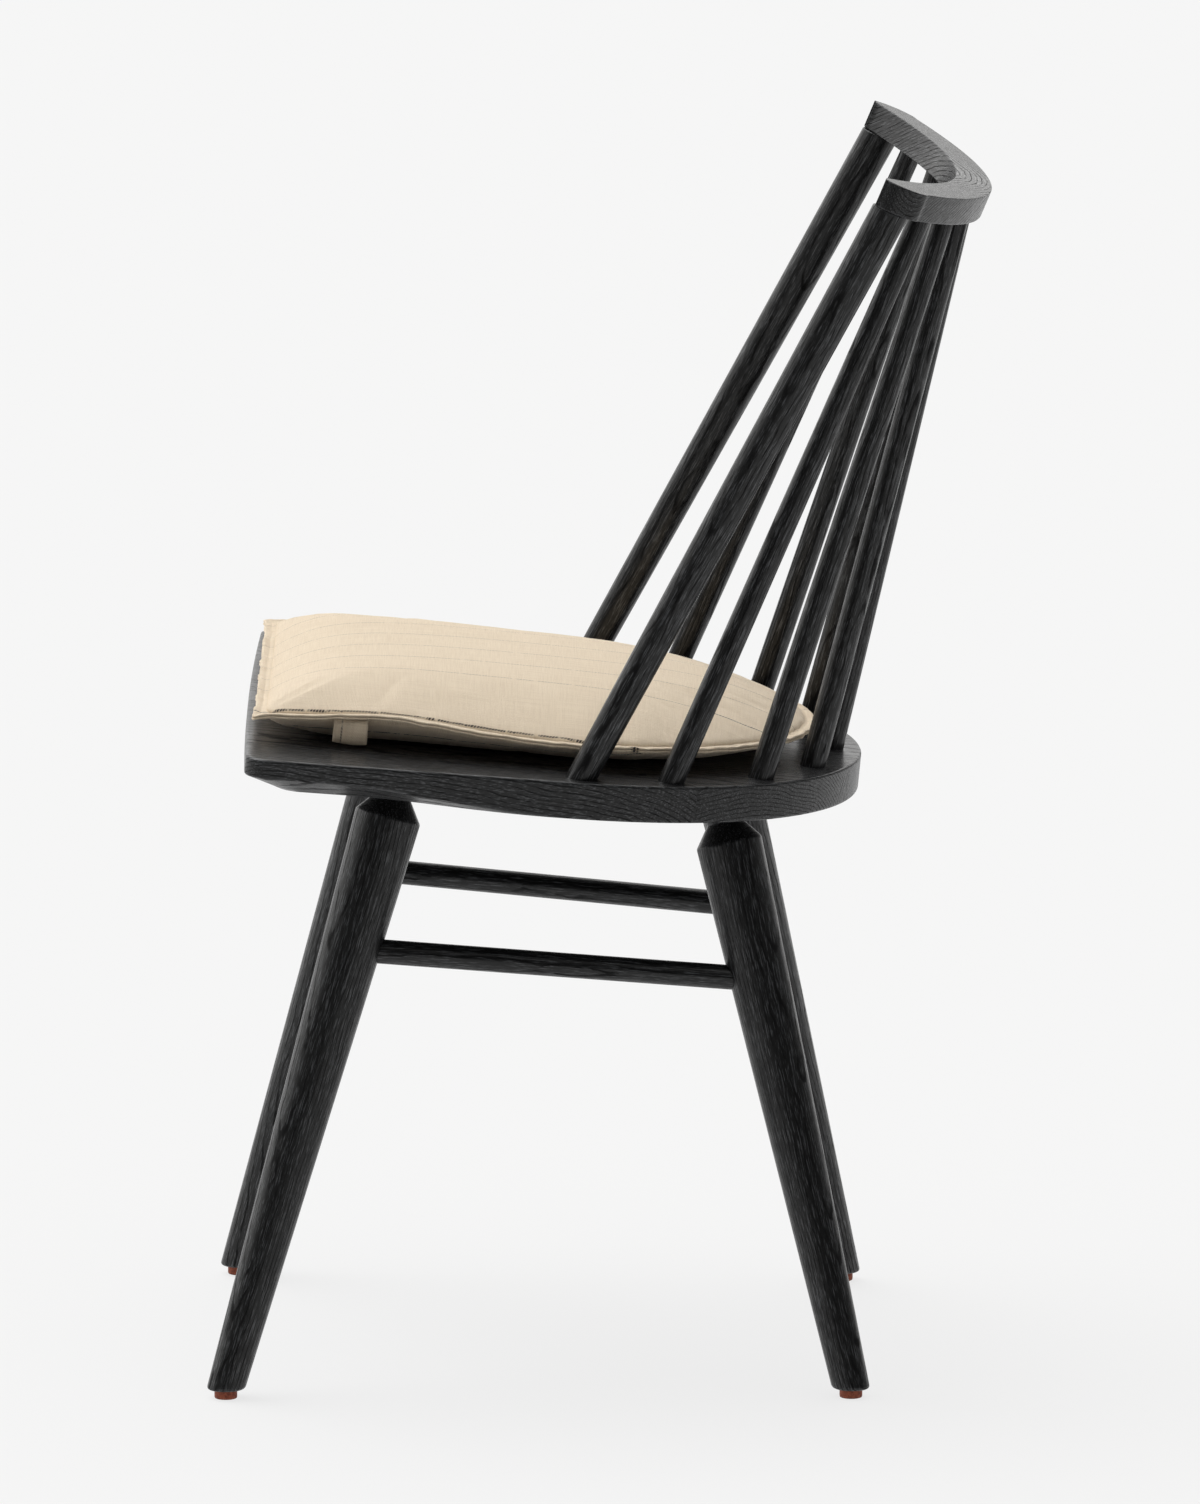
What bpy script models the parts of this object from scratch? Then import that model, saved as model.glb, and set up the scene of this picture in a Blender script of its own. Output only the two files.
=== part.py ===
"""A stick-back side chair in black oak, with a loose linen cushion.

The chair stands on the floor plane with its front towards -Y and its middle on the plane x = 0.
Left and right are as seen from in front of it, so that right is +X.
A plank seat, glued up from five boards and sloping to the rear, is the hub of the chair. Four
splayed legs are socketed into it from below and joined in pairs by a side stretcher. Two stout
posts and seven spindles are socketed into it from above and carry the crescent crest rail.
"""

import math

import bmesh
import bpy
from mathutils import Matrix, Vector

# Clearances (metres)
GAP = 0.0003             # between pieces that touch in the real chair
SOCKET_END = 0.0005      # left at the bottom of a socket
SOCKET_LEAD = 0.015      # how far a cutter stands out of the face that it is let into

SHARP_ANGLE = math.radians(35)      # edges steeper than this are shaded sharp
SAW_REACH = 1e-6                    # points this near to a saw cut count as on it

# Whole chair
MIDDLE_SHIFT = 0.000266  # moves the finished chair along Y, to stand about its own middle

# Seat plank: local +Y runs down the slope to the rear, local +Z is square to the top face
SEAT_HEIGHT = 0.4424     # top face above the floor at local y = 0
SEAT_SLOPE = math.radians(5.35)
SEAT_THICKNESS = 0.026
SEAT_BACK_RADIUS = 0.2300
SEAT_BACK_CENTRE = -0.045
SEAT_FLARE = math.radians(7.4)      # how far the sides open towards the front
SEAT_FRONT = -0.2465
SEAT_FRONT_BOW = 0.003
SEAT_CORNER_RADIUS = 0.016
SEAT_CORNER_INSET = 0.0176          # from where the side would meet the front to the corner's centre
SEAT_BACK_STEPS = 20
SEAT_CORNER_STEPS = 6
SEAT_EDGE = 0.0020                  # easing of the top edge
SEAT_JOINTS = (-0.2005, -0.0660, 0.0660, 0.2005)
UNDERCUT_START = -0.030             # the wide bevel under the rim fades out here
UNDERCUT_FULL = -0.190
UNDERCUT_RISE = 0.0115
UNDERCUT_INSET = 0.115              # as a share of the distance from the seat's middle
RIM_EASING = 0.0014

# Legs: centre line ends as (x, y, z), on the right of the chair
LEG_FOOT_Z = 0.0064
FRONT_LEG_FOOT = (0.1984, -0.2601, LEG_FOOT_Z)
FRONT_LEG_PLAN = (0.1280, -0.1407)  # where the centre line meets the seat's underside
REAR_LEG_FOOT = (0.1866, 0.1768, LEG_FOOT_Z)
REAR_LEG_PLAN = (0.1079, 0.0833)
LEG_FOOT_RADIUS = 0.0130
LEG_TOP_RADIUS = 0.0233
LEG_NECK_RADIUS = 0.0125
LEG_SHOULDER_DROP = 0.0295          # from the seat's underside down to the leg's full radius
LEG_NECK_DROP = 0.0150              # and down to the top of the cone
LEG_TENON = 0.019
LEG_FOOT_EASING = ((0.0, 0.72), (0.0010, 0.90), (0.0035, 1.0))  # height, and share of the radius
LEG_SQUARE = 0.030                  # from here up the rings are square to the leg's own line
LEG_SIDES = 24

# Side stretchers
STRETCHER_RADIUS = 0.0086
STRETCHER_FRONT_Z = 0.3098
STRETCHER_REAR_Z = 0.2863
STRETCHER_SIDES = 16

# Glides and their screws
GLIDE_RADIUS = 0.0080
GLIDE_HEIGHT = 0.0061
GLIDE_BORE = 0.0019
GLIDE_BOTTOM_EDGE = (0.0006, 0.94)  # height of the rounded edge, and its share of the radius
GLIDE_TOP_EDGE = (0.0008, 0.92)
GLIDE_SIDES = 24
SCREW_HEAD_RADIUS = 0.0034
SCREW_HEAD_HEIGHT = 0.0018
SCREW_HEAD_EDGE = (0.0004, 0.9)     # height of the edge, and its share of the radius
SCREW_SHANK_RADIUS = 0.0015
SCREW_HEAD_Z = 0.0008               # the head sits this far above the floor
SCREW_TOP_Z = 0.0200
SCREW_POINT = (0.003, 0.2)          # length of the point, and its share of the radius
SCREW_SIDES = 12

# Crest rail: local +Y runs down its slope to the rear, local z = 0 is its underside
CREST_TIP_Y = 0.1862
CREST_TIP_HEIGHT = 0.8430
CREST_SLOPE = math.radians(22.4)
CREST_THICKNESS = 0.0198
CREST_INNER_APEX = 0.0580
CREST_OUTER_APEX = 0.0852
CREST_INNER_TIP = (0.1843, 0.0020)
CREST_OUTER_RADIUS = 0.3560
CREST_CORNER_RADIUS = 0.0195
CREST_CORNER_CENTRE = (0.1805, 0.0148)
CREST_OUTER_TIP = (0.1948, 0.0010)
CREST_EASING = 0.0010
CREST_STEPS = 22                    # sections in half of the rail
CREST_CORNER_STEPS = 7              # of which round the tip

# Posts and spindles stand on an oval round the back of the seat
OVAL_HALF_WIDTH = 0.2085
OVAL_HALF_DEPTH = 0.1933
OVAL_CENTRE = -0.030
POST_ANGLE = 4.75                   # degrees round the oval from the right-hand side
SPINDLE_ANGLES = (24.0, 47.2, 68.0)
POST_CREST_PLACE = (0.1855, 0.0125)
SPINDLE_CREST_PLACES = ((0.1523, 0.0355), (0.1062, 0.0545), (0.0545, 0.0670))
CENTRE_CREST_PLACE = (0.0, 0.0712)
POST_SEAT_RADIUS = 0.0101
POST_CREST_RADIUS = 0.0131
POST_TENON_RADIUS = 0.0075
SPINDLE_SEAT_RADIUS = 0.0089
SPINDLE_CREST_RADIUS = 0.0076
STICK_SEAT_SOCKET = 0.0165
STICK_CREST_SOCKET = 0.0125
STICK_SIDES = 16

# Cushion: heights are above the seat's top face
CUSHION_BACK_RADIUS = 0.1860
CUSHION_CENTRE = -0.036
CUSHION_HALF_WIDTH = 0.1860
CUSHION_FRONT = -0.2435
CUSHION_CORNER_RADIUS = 0.010
CUSHION_CORNER_STEPS = 3
CUSHION_BACK_STEPS = 10
CUSHION_SIDE_POINT = 0.6            # share of the straight side in front of its middle point
CUSHION_MIDDLE = -0.045
COVER_THICKNESS = 0.0012
FLANGE_GAP = 0.0006
# Panel profiles: share of the outline's size, and height of the joint between the panels
CUSHION_TOP = (
    (1.00, 0.0170), (0.96, 0.0250), (0.89, 0.0335), (0.74, 0.0410), (0.45, 0.0445), (0.15, 0.0455))
CUSHION_BOTTOM = (
    (1.00, 0.0170), (0.965, 0.0120), (0.91, 0.0055), (0.84, 0.0021), (0.45, 0.0021), (0.15, 0.0021))
LOOP_PLACE = (0.1870, -0.176)
LOOP_SIZE = (0.0022, 0.024, 0.0125)
LOOP_BOTTOM = 0.0025


def clear_scene():
    for item in list(bpy.data.objects):
        bpy.data.objects.remove(item, do_unlink=True)


def make_material(name, colour, roughness, metallic=0.0):
    material = bpy.data.materials.new(name)
    material.use_nodes = True
    shader = material.node_tree.nodes["Principled BSDF"]
    shader.inputs["Base Color"].default_value = (*colour, 1.0)
    shader.inputs["Roughness"].default_value = roughness
    shader.inputs["Metallic"].default_value = metallic
    return material


def add_object(name, bm, frame, material):
    """Close the bmesh into a named object that stands in the given frame."""
    bmesh.ops.recalc_face_normals(bm, faces=bm.faces)
    mesh = bpy.data.meshes.new(name)
    bm.to_mesh(mesh)
    bm.free()
    mesh.shade_smooth()
    mesh.set_sharp_from_angle(angle=SHARP_ANGLE)
    item = bpy.data.objects.new(name, mesh)
    item.matrix_world = frame
    if material is not None:
        mesh.materials.append(material)
    bpy.context.scene.collection.objects.link(item)
    return item


def skin_rings(bm, rings):
    """Join rings of equal length with quads and close both ends."""
    loops = [[bm.verts.new(point) for point in ring] for ring in rings]
    count = len(loops[0])
    for low, high in zip(loops, loops[1:]):
        for step in range(count):
            following = (step + 1) % count
            bm.faces.new((low[step], low[following], high[following], high[step]))
    bm.faces.new(loops[0][::-1])
    bm.faces.new(loops[-1])


def loft(name, rings, frame, material):
    bm = bmesh.new()
    skin_rings(bm, rings)
    return add_object(name, bm, frame, material)


def arc(centre, radius, start, stop, steps):
    """Points of a circular arc from one angle to another, both included."""
    turn = (stop - start) / steps
    angles = [start + turn * step for step in range(steps + 1)]
    return [Vector((centre[0] + radius * math.cos(a), centre[1] + radius * math.sin(a))) for a in angles]


def at_height(outline, height):
    return [(point.x, point.y, height) for point in outline]


def line_frame(start, end):
    """A frame at start whose +Z points to end."""
    turn = (end - start).to_track_quat("Z", "Y").to_matrix().to_4x4()
    return Matrix.Translation(start) @ turn


def circle_ring(distance, radius, sides, slant):
    """A ring round local +Z; slant is the normal of the plane that cuts it, or None when square."""
    points = []
    for point in arc((0.0, 0.0), radius, 0.0, math.tau, sides)[:-1]:
        rise = 0.0 if slant is None else -(slant.x * point.x + slant.y * point.y) / slant.z
        points.append((point.x, point.y, distance + rise))
    return points


def turned(name, start, end, stations, sides, material):
    """A turned piece on the line from start to end.

    A station is (distance, radius), or (distance, radius, normal) where a plane with that world
    normal cuts the piece on the slant.
    """
    frame = line_frame(start, end)
    to_local = frame.to_3x3().inverted()
    rings = []
    for distance, radius, *normal in stations:
        slant = to_local @ normal[0] if normal else None
        rings.append(circle_ring(distance, radius, sides, slant))
    return loft(name, rings, frame, material)


def socket_cutter(name, start, end, near, far, radii, sides):
    """A plain round cutter along a line, GAP larger than the tenon that it makes room for."""
    stations = [(near, radii[0] + GAP), (far, radii[1] + GAP)]
    cutter = turned(name, start, end, stations, sides, None)
    cutter.hide_render = True
    cutter.display_type = "WIRE"
    return cutter


def cut(item, cutters):
    for cutter in cutters:
        modifier = item.modifiers.new(cutter.name, "BOOLEAN")
        modifier.operation = "DIFFERENCE"
        modifier.solver = "EXACT"
        modifier.object = cutter


def seat_frame():
    return Matrix.Translation((0.0, 0.0, SEAT_HEIGHT)) @ Matrix.Rotation(-SEAT_SLOPE, 4, "X")


def crest_frame():
    place = Matrix.Translation((0.0, CREST_TIP_Y, CREST_TIP_HEIGHT))
    return place @ Matrix.Rotation(-CREST_SLOPE, 4, "X")


def seat_underside_point(x, y):
    """The point of the seat's underside plane above the plan position (x, y)."""
    drop = SEAT_THICKNESS / math.cos(SEAT_SLOPE)
    return Vector((x, y, SEAT_HEIGHT - y * math.tan(SEAT_SLOPE) - drop))


def mirrored(point, side):
    return Vector((side * point[0], *point[1:]))


# Seat -----------------------------------------------------------------------------------------

def right_half_outline():
    """Seat outline from the middle of the front round the right side to the middle of the back."""
    back = arc((0.0, SEAT_BACK_CENTRE), SEAT_BACK_RADIUS, SEAT_FLARE, math.pi / 2, SEAT_BACK_STEPS)
    side_top = back[0]
    reach = side_top.y - SEAT_FRONT
    corner_x = side_top.x + reach * math.tan(SEAT_FLARE)
    corner = (corner_x - SEAT_CORNER_INSET, SEAT_FRONT + SEAT_CORNER_RADIUS)
    front = [Vector((x, SEAT_FRONT - SEAT_FRONT_BOW * (1 - (x / corner[0]) ** 2)))
             for x in (0.0, corner[0] / 3, corner[0] * 2 / 3)]
    return front + arc(corner, SEAT_CORNER_RADIUS, -math.pi / 2, SEAT_FLARE, SEAT_CORNER_STEPS) + back


def seat_outline():
    right = right_half_outline()
    left = [Vector((-point.x, point.y)) for point in right[-2:0:-1]]
    return right + left


def scaled_about(outline, middle, share_of):
    """Pull each point towards a middle on the Y axis by the share that share_of gives for it."""
    centre = Vector((0.0, middle))
    return [centre + (point - centre) * (1.0 - share_of(point)) for point in outline]


def undercut_share(point):
    """How much of the full bevel the underside has at this point: none at the rear, all in front."""
    along = (UNDERCUT_START - point.y) / (UNDERCUT_START - UNDERCUT_FULL)
    along = min(max(along, 0.0), 1.0)
    return along * along * (3.0 - 2.0 * along)


def seat_rings():
    outline = seat_outline()
    middle = SEAT_BACK_CENTRE
    top = scaled_about(outline, middle, lambda point: SEAT_EDGE / SEAT_BACK_RADIUS)
    edge_share = RIM_EASING / SEAT_BACK_RADIUS
    bottom = scaled_about(outline, middle, lambda p: edge_share + UNDERCUT_INSET * undercut_share(p))
    rim = [(p.x, p.y, UNDERCUT_RISE * undercut_share(p) + RIM_EASING - SEAT_THICKNESS) for p in outline]
    return [at_height(top, 0.0), at_height(outline, -SEAT_EDGE), rim, at_height(bottom, -SEAT_THICKNESS)]


def keep_side(bm, x, direction):
    """Saw the bmesh square across at x and keep the part on the side of direction."""
    geometry = bm.verts[:] + bm.edges[:] + bm.faces[:]
    sawn = bmesh.ops.bisect_plane(
        bm, geom=geometry, dist=SAW_REACH, plane_co=(x, 0, 0), plane_no=(-direction, 0, 0),
        clear_outer=True)
    edges = [part for part in sawn["geom_cut"] if isinstance(part, bmesh.types.BMEdge)]
    bmesh.ops.contextual_create(bm, geom=edges)


def make_seat(material):
    names = ("seat_board_outer_left", "seat_board_inner_left", "seat_board_centre",
             "seat_board_inner_right", "seat_board_outer_right")
    lows = (None, *SEAT_JOINTS)
    highs = (*SEAT_JOINTS, None)
    boards = []
    for name, low, high in zip(names, lows, highs):
        bm = bmesh.new()
        skin_rings(bm, seat_rings())
        if low is not None:
            keep_side(bm, low + GAP / 2, 1.0)
        if high is not None:
            keep_side(bm, high - GAP / 2, -1.0)
        boards.append(add_object(name, bm, seat_frame(), material))
    return boards


# Legs, stretchers and glides ------------------------------------------------------------------

def leg_lines():
    """Name, foot and the point at the seat's underside of each leg."""
    lines = []
    rows = (("front", FRONT_LEG_FOOT, FRONT_LEG_PLAN), ("rear", REAR_LEG_FOOT, REAR_LEG_PLAN))
    for row, foot, plan in rows:
        for hand, side in (("left", -1), ("right", 1)):
            top = seat_underside_point(side * plan[0], plan[1])
            lines.append((f"{row}_{hand}", mirrored(foot, side), top))
    return lines


def make_leg(name, foot, top, material):
    """Foot cut level with the floor, long taper, cone under the seat, and the tenon."""
    up = Vector((0.0, 0.0, 1.0))
    length = (top - foot).length
    shoulder = length - LEG_SHOULDER_DROP
    square_radius = LEG_FOOT_RADIUS + (LEG_TOP_RADIUS - LEG_FOOT_RADIUS) * LEG_SQUARE / shoulder
    stations = [(height, LEG_FOOT_RADIUS * share, up) for height, share in LEG_FOOT_EASING]
    stations += [
        (LEG_SQUARE, square_radius),
        (shoulder, LEG_TOP_RADIUS),
        (length - LEG_NECK_DROP, LEG_NECK_RADIUS),
        (length + LEG_TENON, LEG_NECK_RADIUS),
    ]
    return turned(f"leg_{name}", foot, top, stations, LEG_SIDES, material)


def leg_socket(name, foot, top):
    length = (top - foot).length
    near = length - SOCKET_LEAD
    far = length + LEG_TENON + SOCKET_END
    radii = (LEG_NECK_RADIUS, LEG_NECK_RADIUS)
    return socket_cutter(f"cut_leg_{name}", foot, top, near, far, radii, LEG_SIDES)


def point_at_height(foot, top, z):
    return foot + (top - foot) * ((z - foot.z) / (top.z - foot.z))


def make_stretcher(hand, lines, material):
    """A round bar between a front and a rear leg, whose ends stop at the legs' centre lines."""
    front = point_at_height(*lines[f"front_{hand}"], STRETCHER_FRONT_Z)
    rear = point_at_height(*lines[f"rear_{hand}"], STRETCHER_REAR_Z)
    length = (rear - front).length
    stations = [(0.0, STRETCHER_RADIUS), (length, STRETCHER_RADIUS)]
    bar = turned(f"side_stretcher_{hand}", front, rear, stations, STRETCHER_SIDES, material)
    radii = (STRETCHER_RADIUS, STRETCHER_RADIUS)
    socket = socket_cutter(f"cut_stretcher_{hand}", front, rear, -SOCKET_END, length + SOCKET_END,
                           radii, STRETCHER_SIDES)
    return bar, socket


def make_glide(name, middle, material):
    """A round pad with a bore and a wide recess for the head of its screw."""
    axis_top = middle + Vector((0.0, 0.0, 1.0))
    recess = SCREW_HEAD_RADIUS + GAP * 2
    floor_of_recess = SCREW_HEAD_Z + SCREW_HEAD_HEIGHT + GAP
    low_edge, low_share = GLIDE_BOTTOM_EDGE
    top_edge, top_share = GLIDE_TOP_EDGE
    bm = bmesh.new()
    outer = [(0.0, GLIDE_RADIUS * low_share), (low_edge, GLIDE_RADIUS),
             (GLIDE_HEIGHT - top_edge, GLIDE_RADIUS), (GLIDE_HEIGHT, GLIDE_RADIUS * top_share)]
    inner = [(GLIDE_HEIGHT, GLIDE_BORE), (floor_of_recess, GLIDE_BORE),
             (floor_of_recess, recess), (0.0, recess)]
    profile = outer + inner
    loops = [[bm.verts.new(p) for p in circle_ring(z, r, GLIDE_SIDES, None)] for z, r in profile]
    for low, high in zip(loops, loops[1:] + loops[:1]):
        for step in range(GLIDE_SIDES):
            following = (step + 1) % GLIDE_SIDES
            bm.faces.new((low[step], low[following], high[following], high[step]))
    return add_object(f"glide_{name}", bm, line_frame(middle, axis_top), material)


def make_glide_screw(name, middle, material):
    """A countersunk screw up the middle of the glide into the end of the leg."""
    axis_top = middle + Vector((0.0, 0.0, 1.0))
    edge, edge_share = SCREW_HEAD_EDGE
    point, point_share = SCREW_POINT
    stations = [
        (SCREW_HEAD_Z, SCREW_HEAD_RADIUS * edge_share),
        (SCREW_HEAD_Z + edge, SCREW_HEAD_RADIUS),
        (SCREW_HEAD_Z + SCREW_HEAD_HEIGHT, SCREW_SHANK_RADIUS),
        (SCREW_TOP_Z - point, SCREW_SHANK_RADIUS),
        (SCREW_TOP_Z, SCREW_SHANK_RADIUS * point_share),
    ]
    screw = turned(f"glide_screw_{name}", middle, axis_top, stations, SCREW_SIDES, material)
    radii = (SCREW_SHANK_RADIUS, SCREW_SHANK_RADIUS)
    hole = socket_cutter(f"cut_screw_{name}", middle, axis_top, SCREW_HEAD_Z, SCREW_TOP_Z + SOCKET_END,
                         radii, SCREW_SIDES)
    return screw, hole


# Crest rail -----------------------------------------------------------------------------------

def crest_inner_points():
    """Points of the inner arc from its apex to the right-hand tip."""
    tip_x, tip_y = CREST_INNER_TIP
    sag = CREST_INNER_APEX - tip_y
    radius = (tip_x ** 2 + sag ** 2) / (2 * sag)
    stop = math.acos(tip_x / radius)
    return arc((0.0, CREST_INNER_APEX - radius), radius, math.pi / 2, stop, CREST_STEPS)


def crest_outer_points():
    """Points of the outer arc and the tip's round corner, from the apex to the right-hand tip."""
    centre_y = CREST_OUTER_APEX - CREST_OUTER_RADIUS
    corner_x, corner_y = CREST_CORNER_CENTRE
    join = math.atan2(corner_y - centre_y, corner_x)
    back = arc((0.0, centre_y), CREST_OUTER_RADIUS, math.pi / 2, join, CREST_STEPS - CREST_CORNER_STEPS)
    tip_x, tip_y = CREST_OUTER_TIP
    stop = math.atan2(tip_y - corner_y, tip_x - corner_x)
    corner = arc(CREST_CORNER_CENTRE, CREST_CORNER_RADIUS, join, stop, CREST_CORNER_STEPS)
    return back[:-1] + corner


def crest_section(inner, outer):
    """Eased rectangle between an inner and an outer point of the rail."""
    across = (outer - inner).normalized() * CREST_EASING
    top = CREST_THICKNESS
    low, high = CREST_EASING, top - CREST_EASING
    corners = ((inner + across, 0.0), (inner, low), (inner, high), (inner + across, top),
               (outer - across, top), (outer, high), (outer, low), (outer - across, 0.0))
    return [(point.x, point.y, z) for point, z in corners]


def make_crest(material):
    inner = crest_inner_points()
    outer = crest_outer_points()
    right = [crest_section(a, b) for a, b in zip(inner, outer)]
    left = [[(-x, y, z) for x, y, z in section] for section in right[:0:-1]]
    return loft("crest_rail", left + right, crest_frame(), material)


# Posts and spindles ---------------------------------------------------------------------------

def stick_lines():
    """Name, foot on the seat and head at the crest's underside of each upright stick."""
    seats = [("spindle_centre", 90.0, CENTRE_CREST_PLACE, 1)]
    for hand, side in (("left", -1), ("right", 1)):
        seats.append((f"back_post_{hand}", POST_ANGLE, POST_CREST_PLACE, side))
        for number, (angle, place) in enumerate(zip(SPINDLE_ANGLES, SPINDLE_CREST_PLACES), 1):
            seats.append((f"spindle_{hand}_{number}", angle, place, side))
    lines = []
    for name, degrees, place, side in seats:
        angle = math.radians(degrees)
        x = OVAL_HALF_WIDTH * math.cos(angle) * side
        y = OVAL_CENTRE + OVAL_HALF_DEPTH * math.sin(angle)
        foot = seat_frame() @ Vector((x, y, 0.0))
        head = crest_frame() @ Vector((place[0] * side, place[1], 0.0))
        lines.append((name, foot, head))
    return lines


def stick_radii(name):
    """Radius at the seat, below the crest, and of the part inside the crest."""
    if name.startswith("back_post"):
        return POST_SEAT_RADIUS, POST_CREST_RADIUS, POST_TENON_RADIUS
    return SPINDLE_SEAT_RADIUS, SPINDLE_CREST_RADIUS, SPINDLE_CREST_RADIUS


def make_stick(name, foot, head, material):
    """An upright with its two ends in their sockets; a post's shoulder is scribed to the crest."""
    low, high, tenon = stick_radii(name)
    length = (head - foot).length
    end = length + STICK_CREST_SOCKET
    stations = [(-STICK_SEAT_SOCKET, low), (0.0, low)]
    if tenon < high:
        under = crest_frame().to_3x3() @ Vector((0.0, 0.0, 1.0))
        stations += [(length - GAP, high, under), (length - GAP, tenon, under), (end, tenon)]
    else:
        stations += [(length, high), (end, tenon)]
    return turned(name, foot, head, stations, STICK_SIDES, material)


def stick_sockets(name, foot, head):
    low, high, tenon = stick_radii(name)
    length = (head - foot).length
    seat_hole = socket_cutter(f"cut_seat_{name}", foot, head, -STICK_SEAT_SOCKET - SOCKET_END,
                              SOCKET_LEAD, (low, low), STICK_SIDES)
    crest_hole = socket_cutter(f"cut_crest_{name}", foot, head, length - SOCKET_LEAD,
                               length + STICK_CREST_SOCKET + SOCKET_END, (tenon, tenon), STICK_SIDES)
    return seat_hole, crest_hole


# Cushion --------------------------------------------------------------------------------------

def cushion_outline():
    centre = (0.0, CUSHION_CENTRE)
    right = [Vector((0.0, CUSHION_FRONT)), Vector((CUSHION_HALF_WIDTH / 2, CUSHION_FRONT))]
    corner = (CUSHION_HALF_WIDTH - CUSHION_CORNER_RADIUS, CUSHION_FRONT + CUSHION_CORNER_RADIUS)
    right += arc(corner, CUSHION_CORNER_RADIUS, -math.pi / 2, 0.0, CUSHION_CORNER_STEPS)
    side_y = CUSHION_CENTRE + (CUSHION_FRONT - CUSHION_CENTRE) * CUSHION_SIDE_POINT
    right += [Vector((CUSHION_HALF_WIDTH, side_y))]
    right += arc(centre, CUSHION_BACK_RADIUS, 0.0, math.pi / 2, CUSHION_BACK_STEPS)
    left = [Vector((-point.x, point.y)) for point in right[-2:0:-1]]
    return right + left


def cushion_rings(profile, lift):
    """Rings of the cushion's outline drawn in towards its middle, each at its own height."""
    outline = cushion_outline()
    rings = []
    for scale, height in profile:
        rings.append(at_height(scaled_about(outline, CUSHION_MIDDLE, lambda p: 1.0 - scale), height + lift))
    return rings


def shrunk(profile, amount):
    return tuple((scale - amount, height) for scale, height in profile)


def make_panel(name, profile, outer_lift, inner_lift, material):
    """A thin dished sheet: the outer face from its middle to the edge, then the inner face back."""
    outer = cushion_rings(profile, outer_lift)
    inner = cushion_rings(shrunk(profile, COVER_THICKNESS / CUSHION_HALF_WIDTH), inner_lift)
    return loft(name, outer[::-1] + inner, seat_frame(), material)


def make_cushion(cover, filling):
    half = FLANGE_GAP / 2
    lift = half + COVER_THICKNESS
    make_panel("cushion_top_panel", CUSHION_TOP, lift, half, cover)
    make_panel("cushion_bottom_panel", CUSHION_BOTTOM, -lift, -half, cover)
    inset = (COVER_THICKNESS * 2) / CUSHION_HALF_WIDTH
    top = cushion_rings(shrunk(CUSHION_TOP[1:], inset), -GAP)
    bottom = cushion_rings(shrunk(CUSHION_BOTTOM[1:], inset), GAP)
    loft("cushion_filling", top[::-1] + bottom, seat_frame(), filling)
    make_loop(cover)


def make_loop(material):
    """The short doubled strap below the seam on the right-hand side."""
    depth, width, height = LOOP_SIZE
    x, y = LOOP_PLACE
    low = [(x, y - width / 2), (x + depth, y - width / 2), (x + depth, y + width / 2), (x, y + width / 2)]
    rings = [[(px, py, LOOP_BOTTOM + height * share) for px, py in low] for share in (0.0, 1.0)]
    loft("cushion_side_loop", rings, seat_frame(), material)


# Assembly -------------------------------------------------------------------------------------

def overlaps(item, cutter):
    """True when the boxes of a piece and a cutter share some space, so that a cut can matter."""
    bpy.context.view_layer.update()
    boxes = []
    for thing in (item, cutter):
        corners = [thing.matrix_world @ Vector(corner) for corner in thing.bound_box]
        boxes.append([(min(c[k] for c in corners), max(c[k] for c in corners)) for k in range(3)])
    return all(a[0] <= b[1] and b[0] <= a[1] for a, b in zip(*boxes))


def build():
    clear_scene()
    oak = make_material("black_oak", (0.018, 0.018, 0.019), 0.42)
    pad = make_material("glide_rubber", (0.24, 0.055, 0.025), 0.6)
    steel = make_material("screw_steel", (0.55, 0.54, 0.52), 0.35, 1.0)
    linen = make_material("linen", (0.70, 0.58, 0.41), 0.9)
    wadding = make_material("wadding", (0.85, 0.84, 0.80), 0.95)

    boards = make_seat(oak)
    crest = make_crest(oak)
    seat_cutters = []
    crest_cutters = []
    for name, foot, head in stick_lines():
        make_stick(name, foot, head, oak)
        seat_hole, crest_hole = stick_sockets(name, foot, head)
        seat_cutters.append(seat_hole)
        crest_cutters.append(crest_hole)

    legs = {}
    screw_holes = {}
    for name, foot, top in leg_lines():
        legs[name] = make_leg(name, foot, top, oak)
        seat_cutters.append(leg_socket(name, foot, top))
        middle = Vector((foot.x, foot.y, 0.0))
        make_glide(name, middle, pad)
        screw_holes[name] = make_glide_screw(name, middle, steel)[1]

    lines = {name: (foot, top) for name, foot, top in leg_lines()}
    for hand in ("left", "right"):
        socket = make_stretcher(hand, lines, oak)[1]
        for row in ("front", "rear"):
            name = f"{row}_{hand}"
            cut(legs[name], [socket, screw_holes[name]])

    cut(crest, crest_cutters)
    for board in boards:
        cut(board, [cutter for cutter in seat_cutters if overlaps(board, cutter)])
    make_cushion(linen, wadding)

    for item in bpy.data.objects:
        item.location.y += MIDDLE_SHIFT


build()
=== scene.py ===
"""Looks of a stick-back side chair in black oak, with a loose linen cushion.

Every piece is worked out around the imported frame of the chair. Lengths are metres, the chair
faces -Y, and right is +X, as seen from in front of it.
"""

import math

import bmesh
import bpy
import numpy as np
from mathutils import Matrix, Vector


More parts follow.
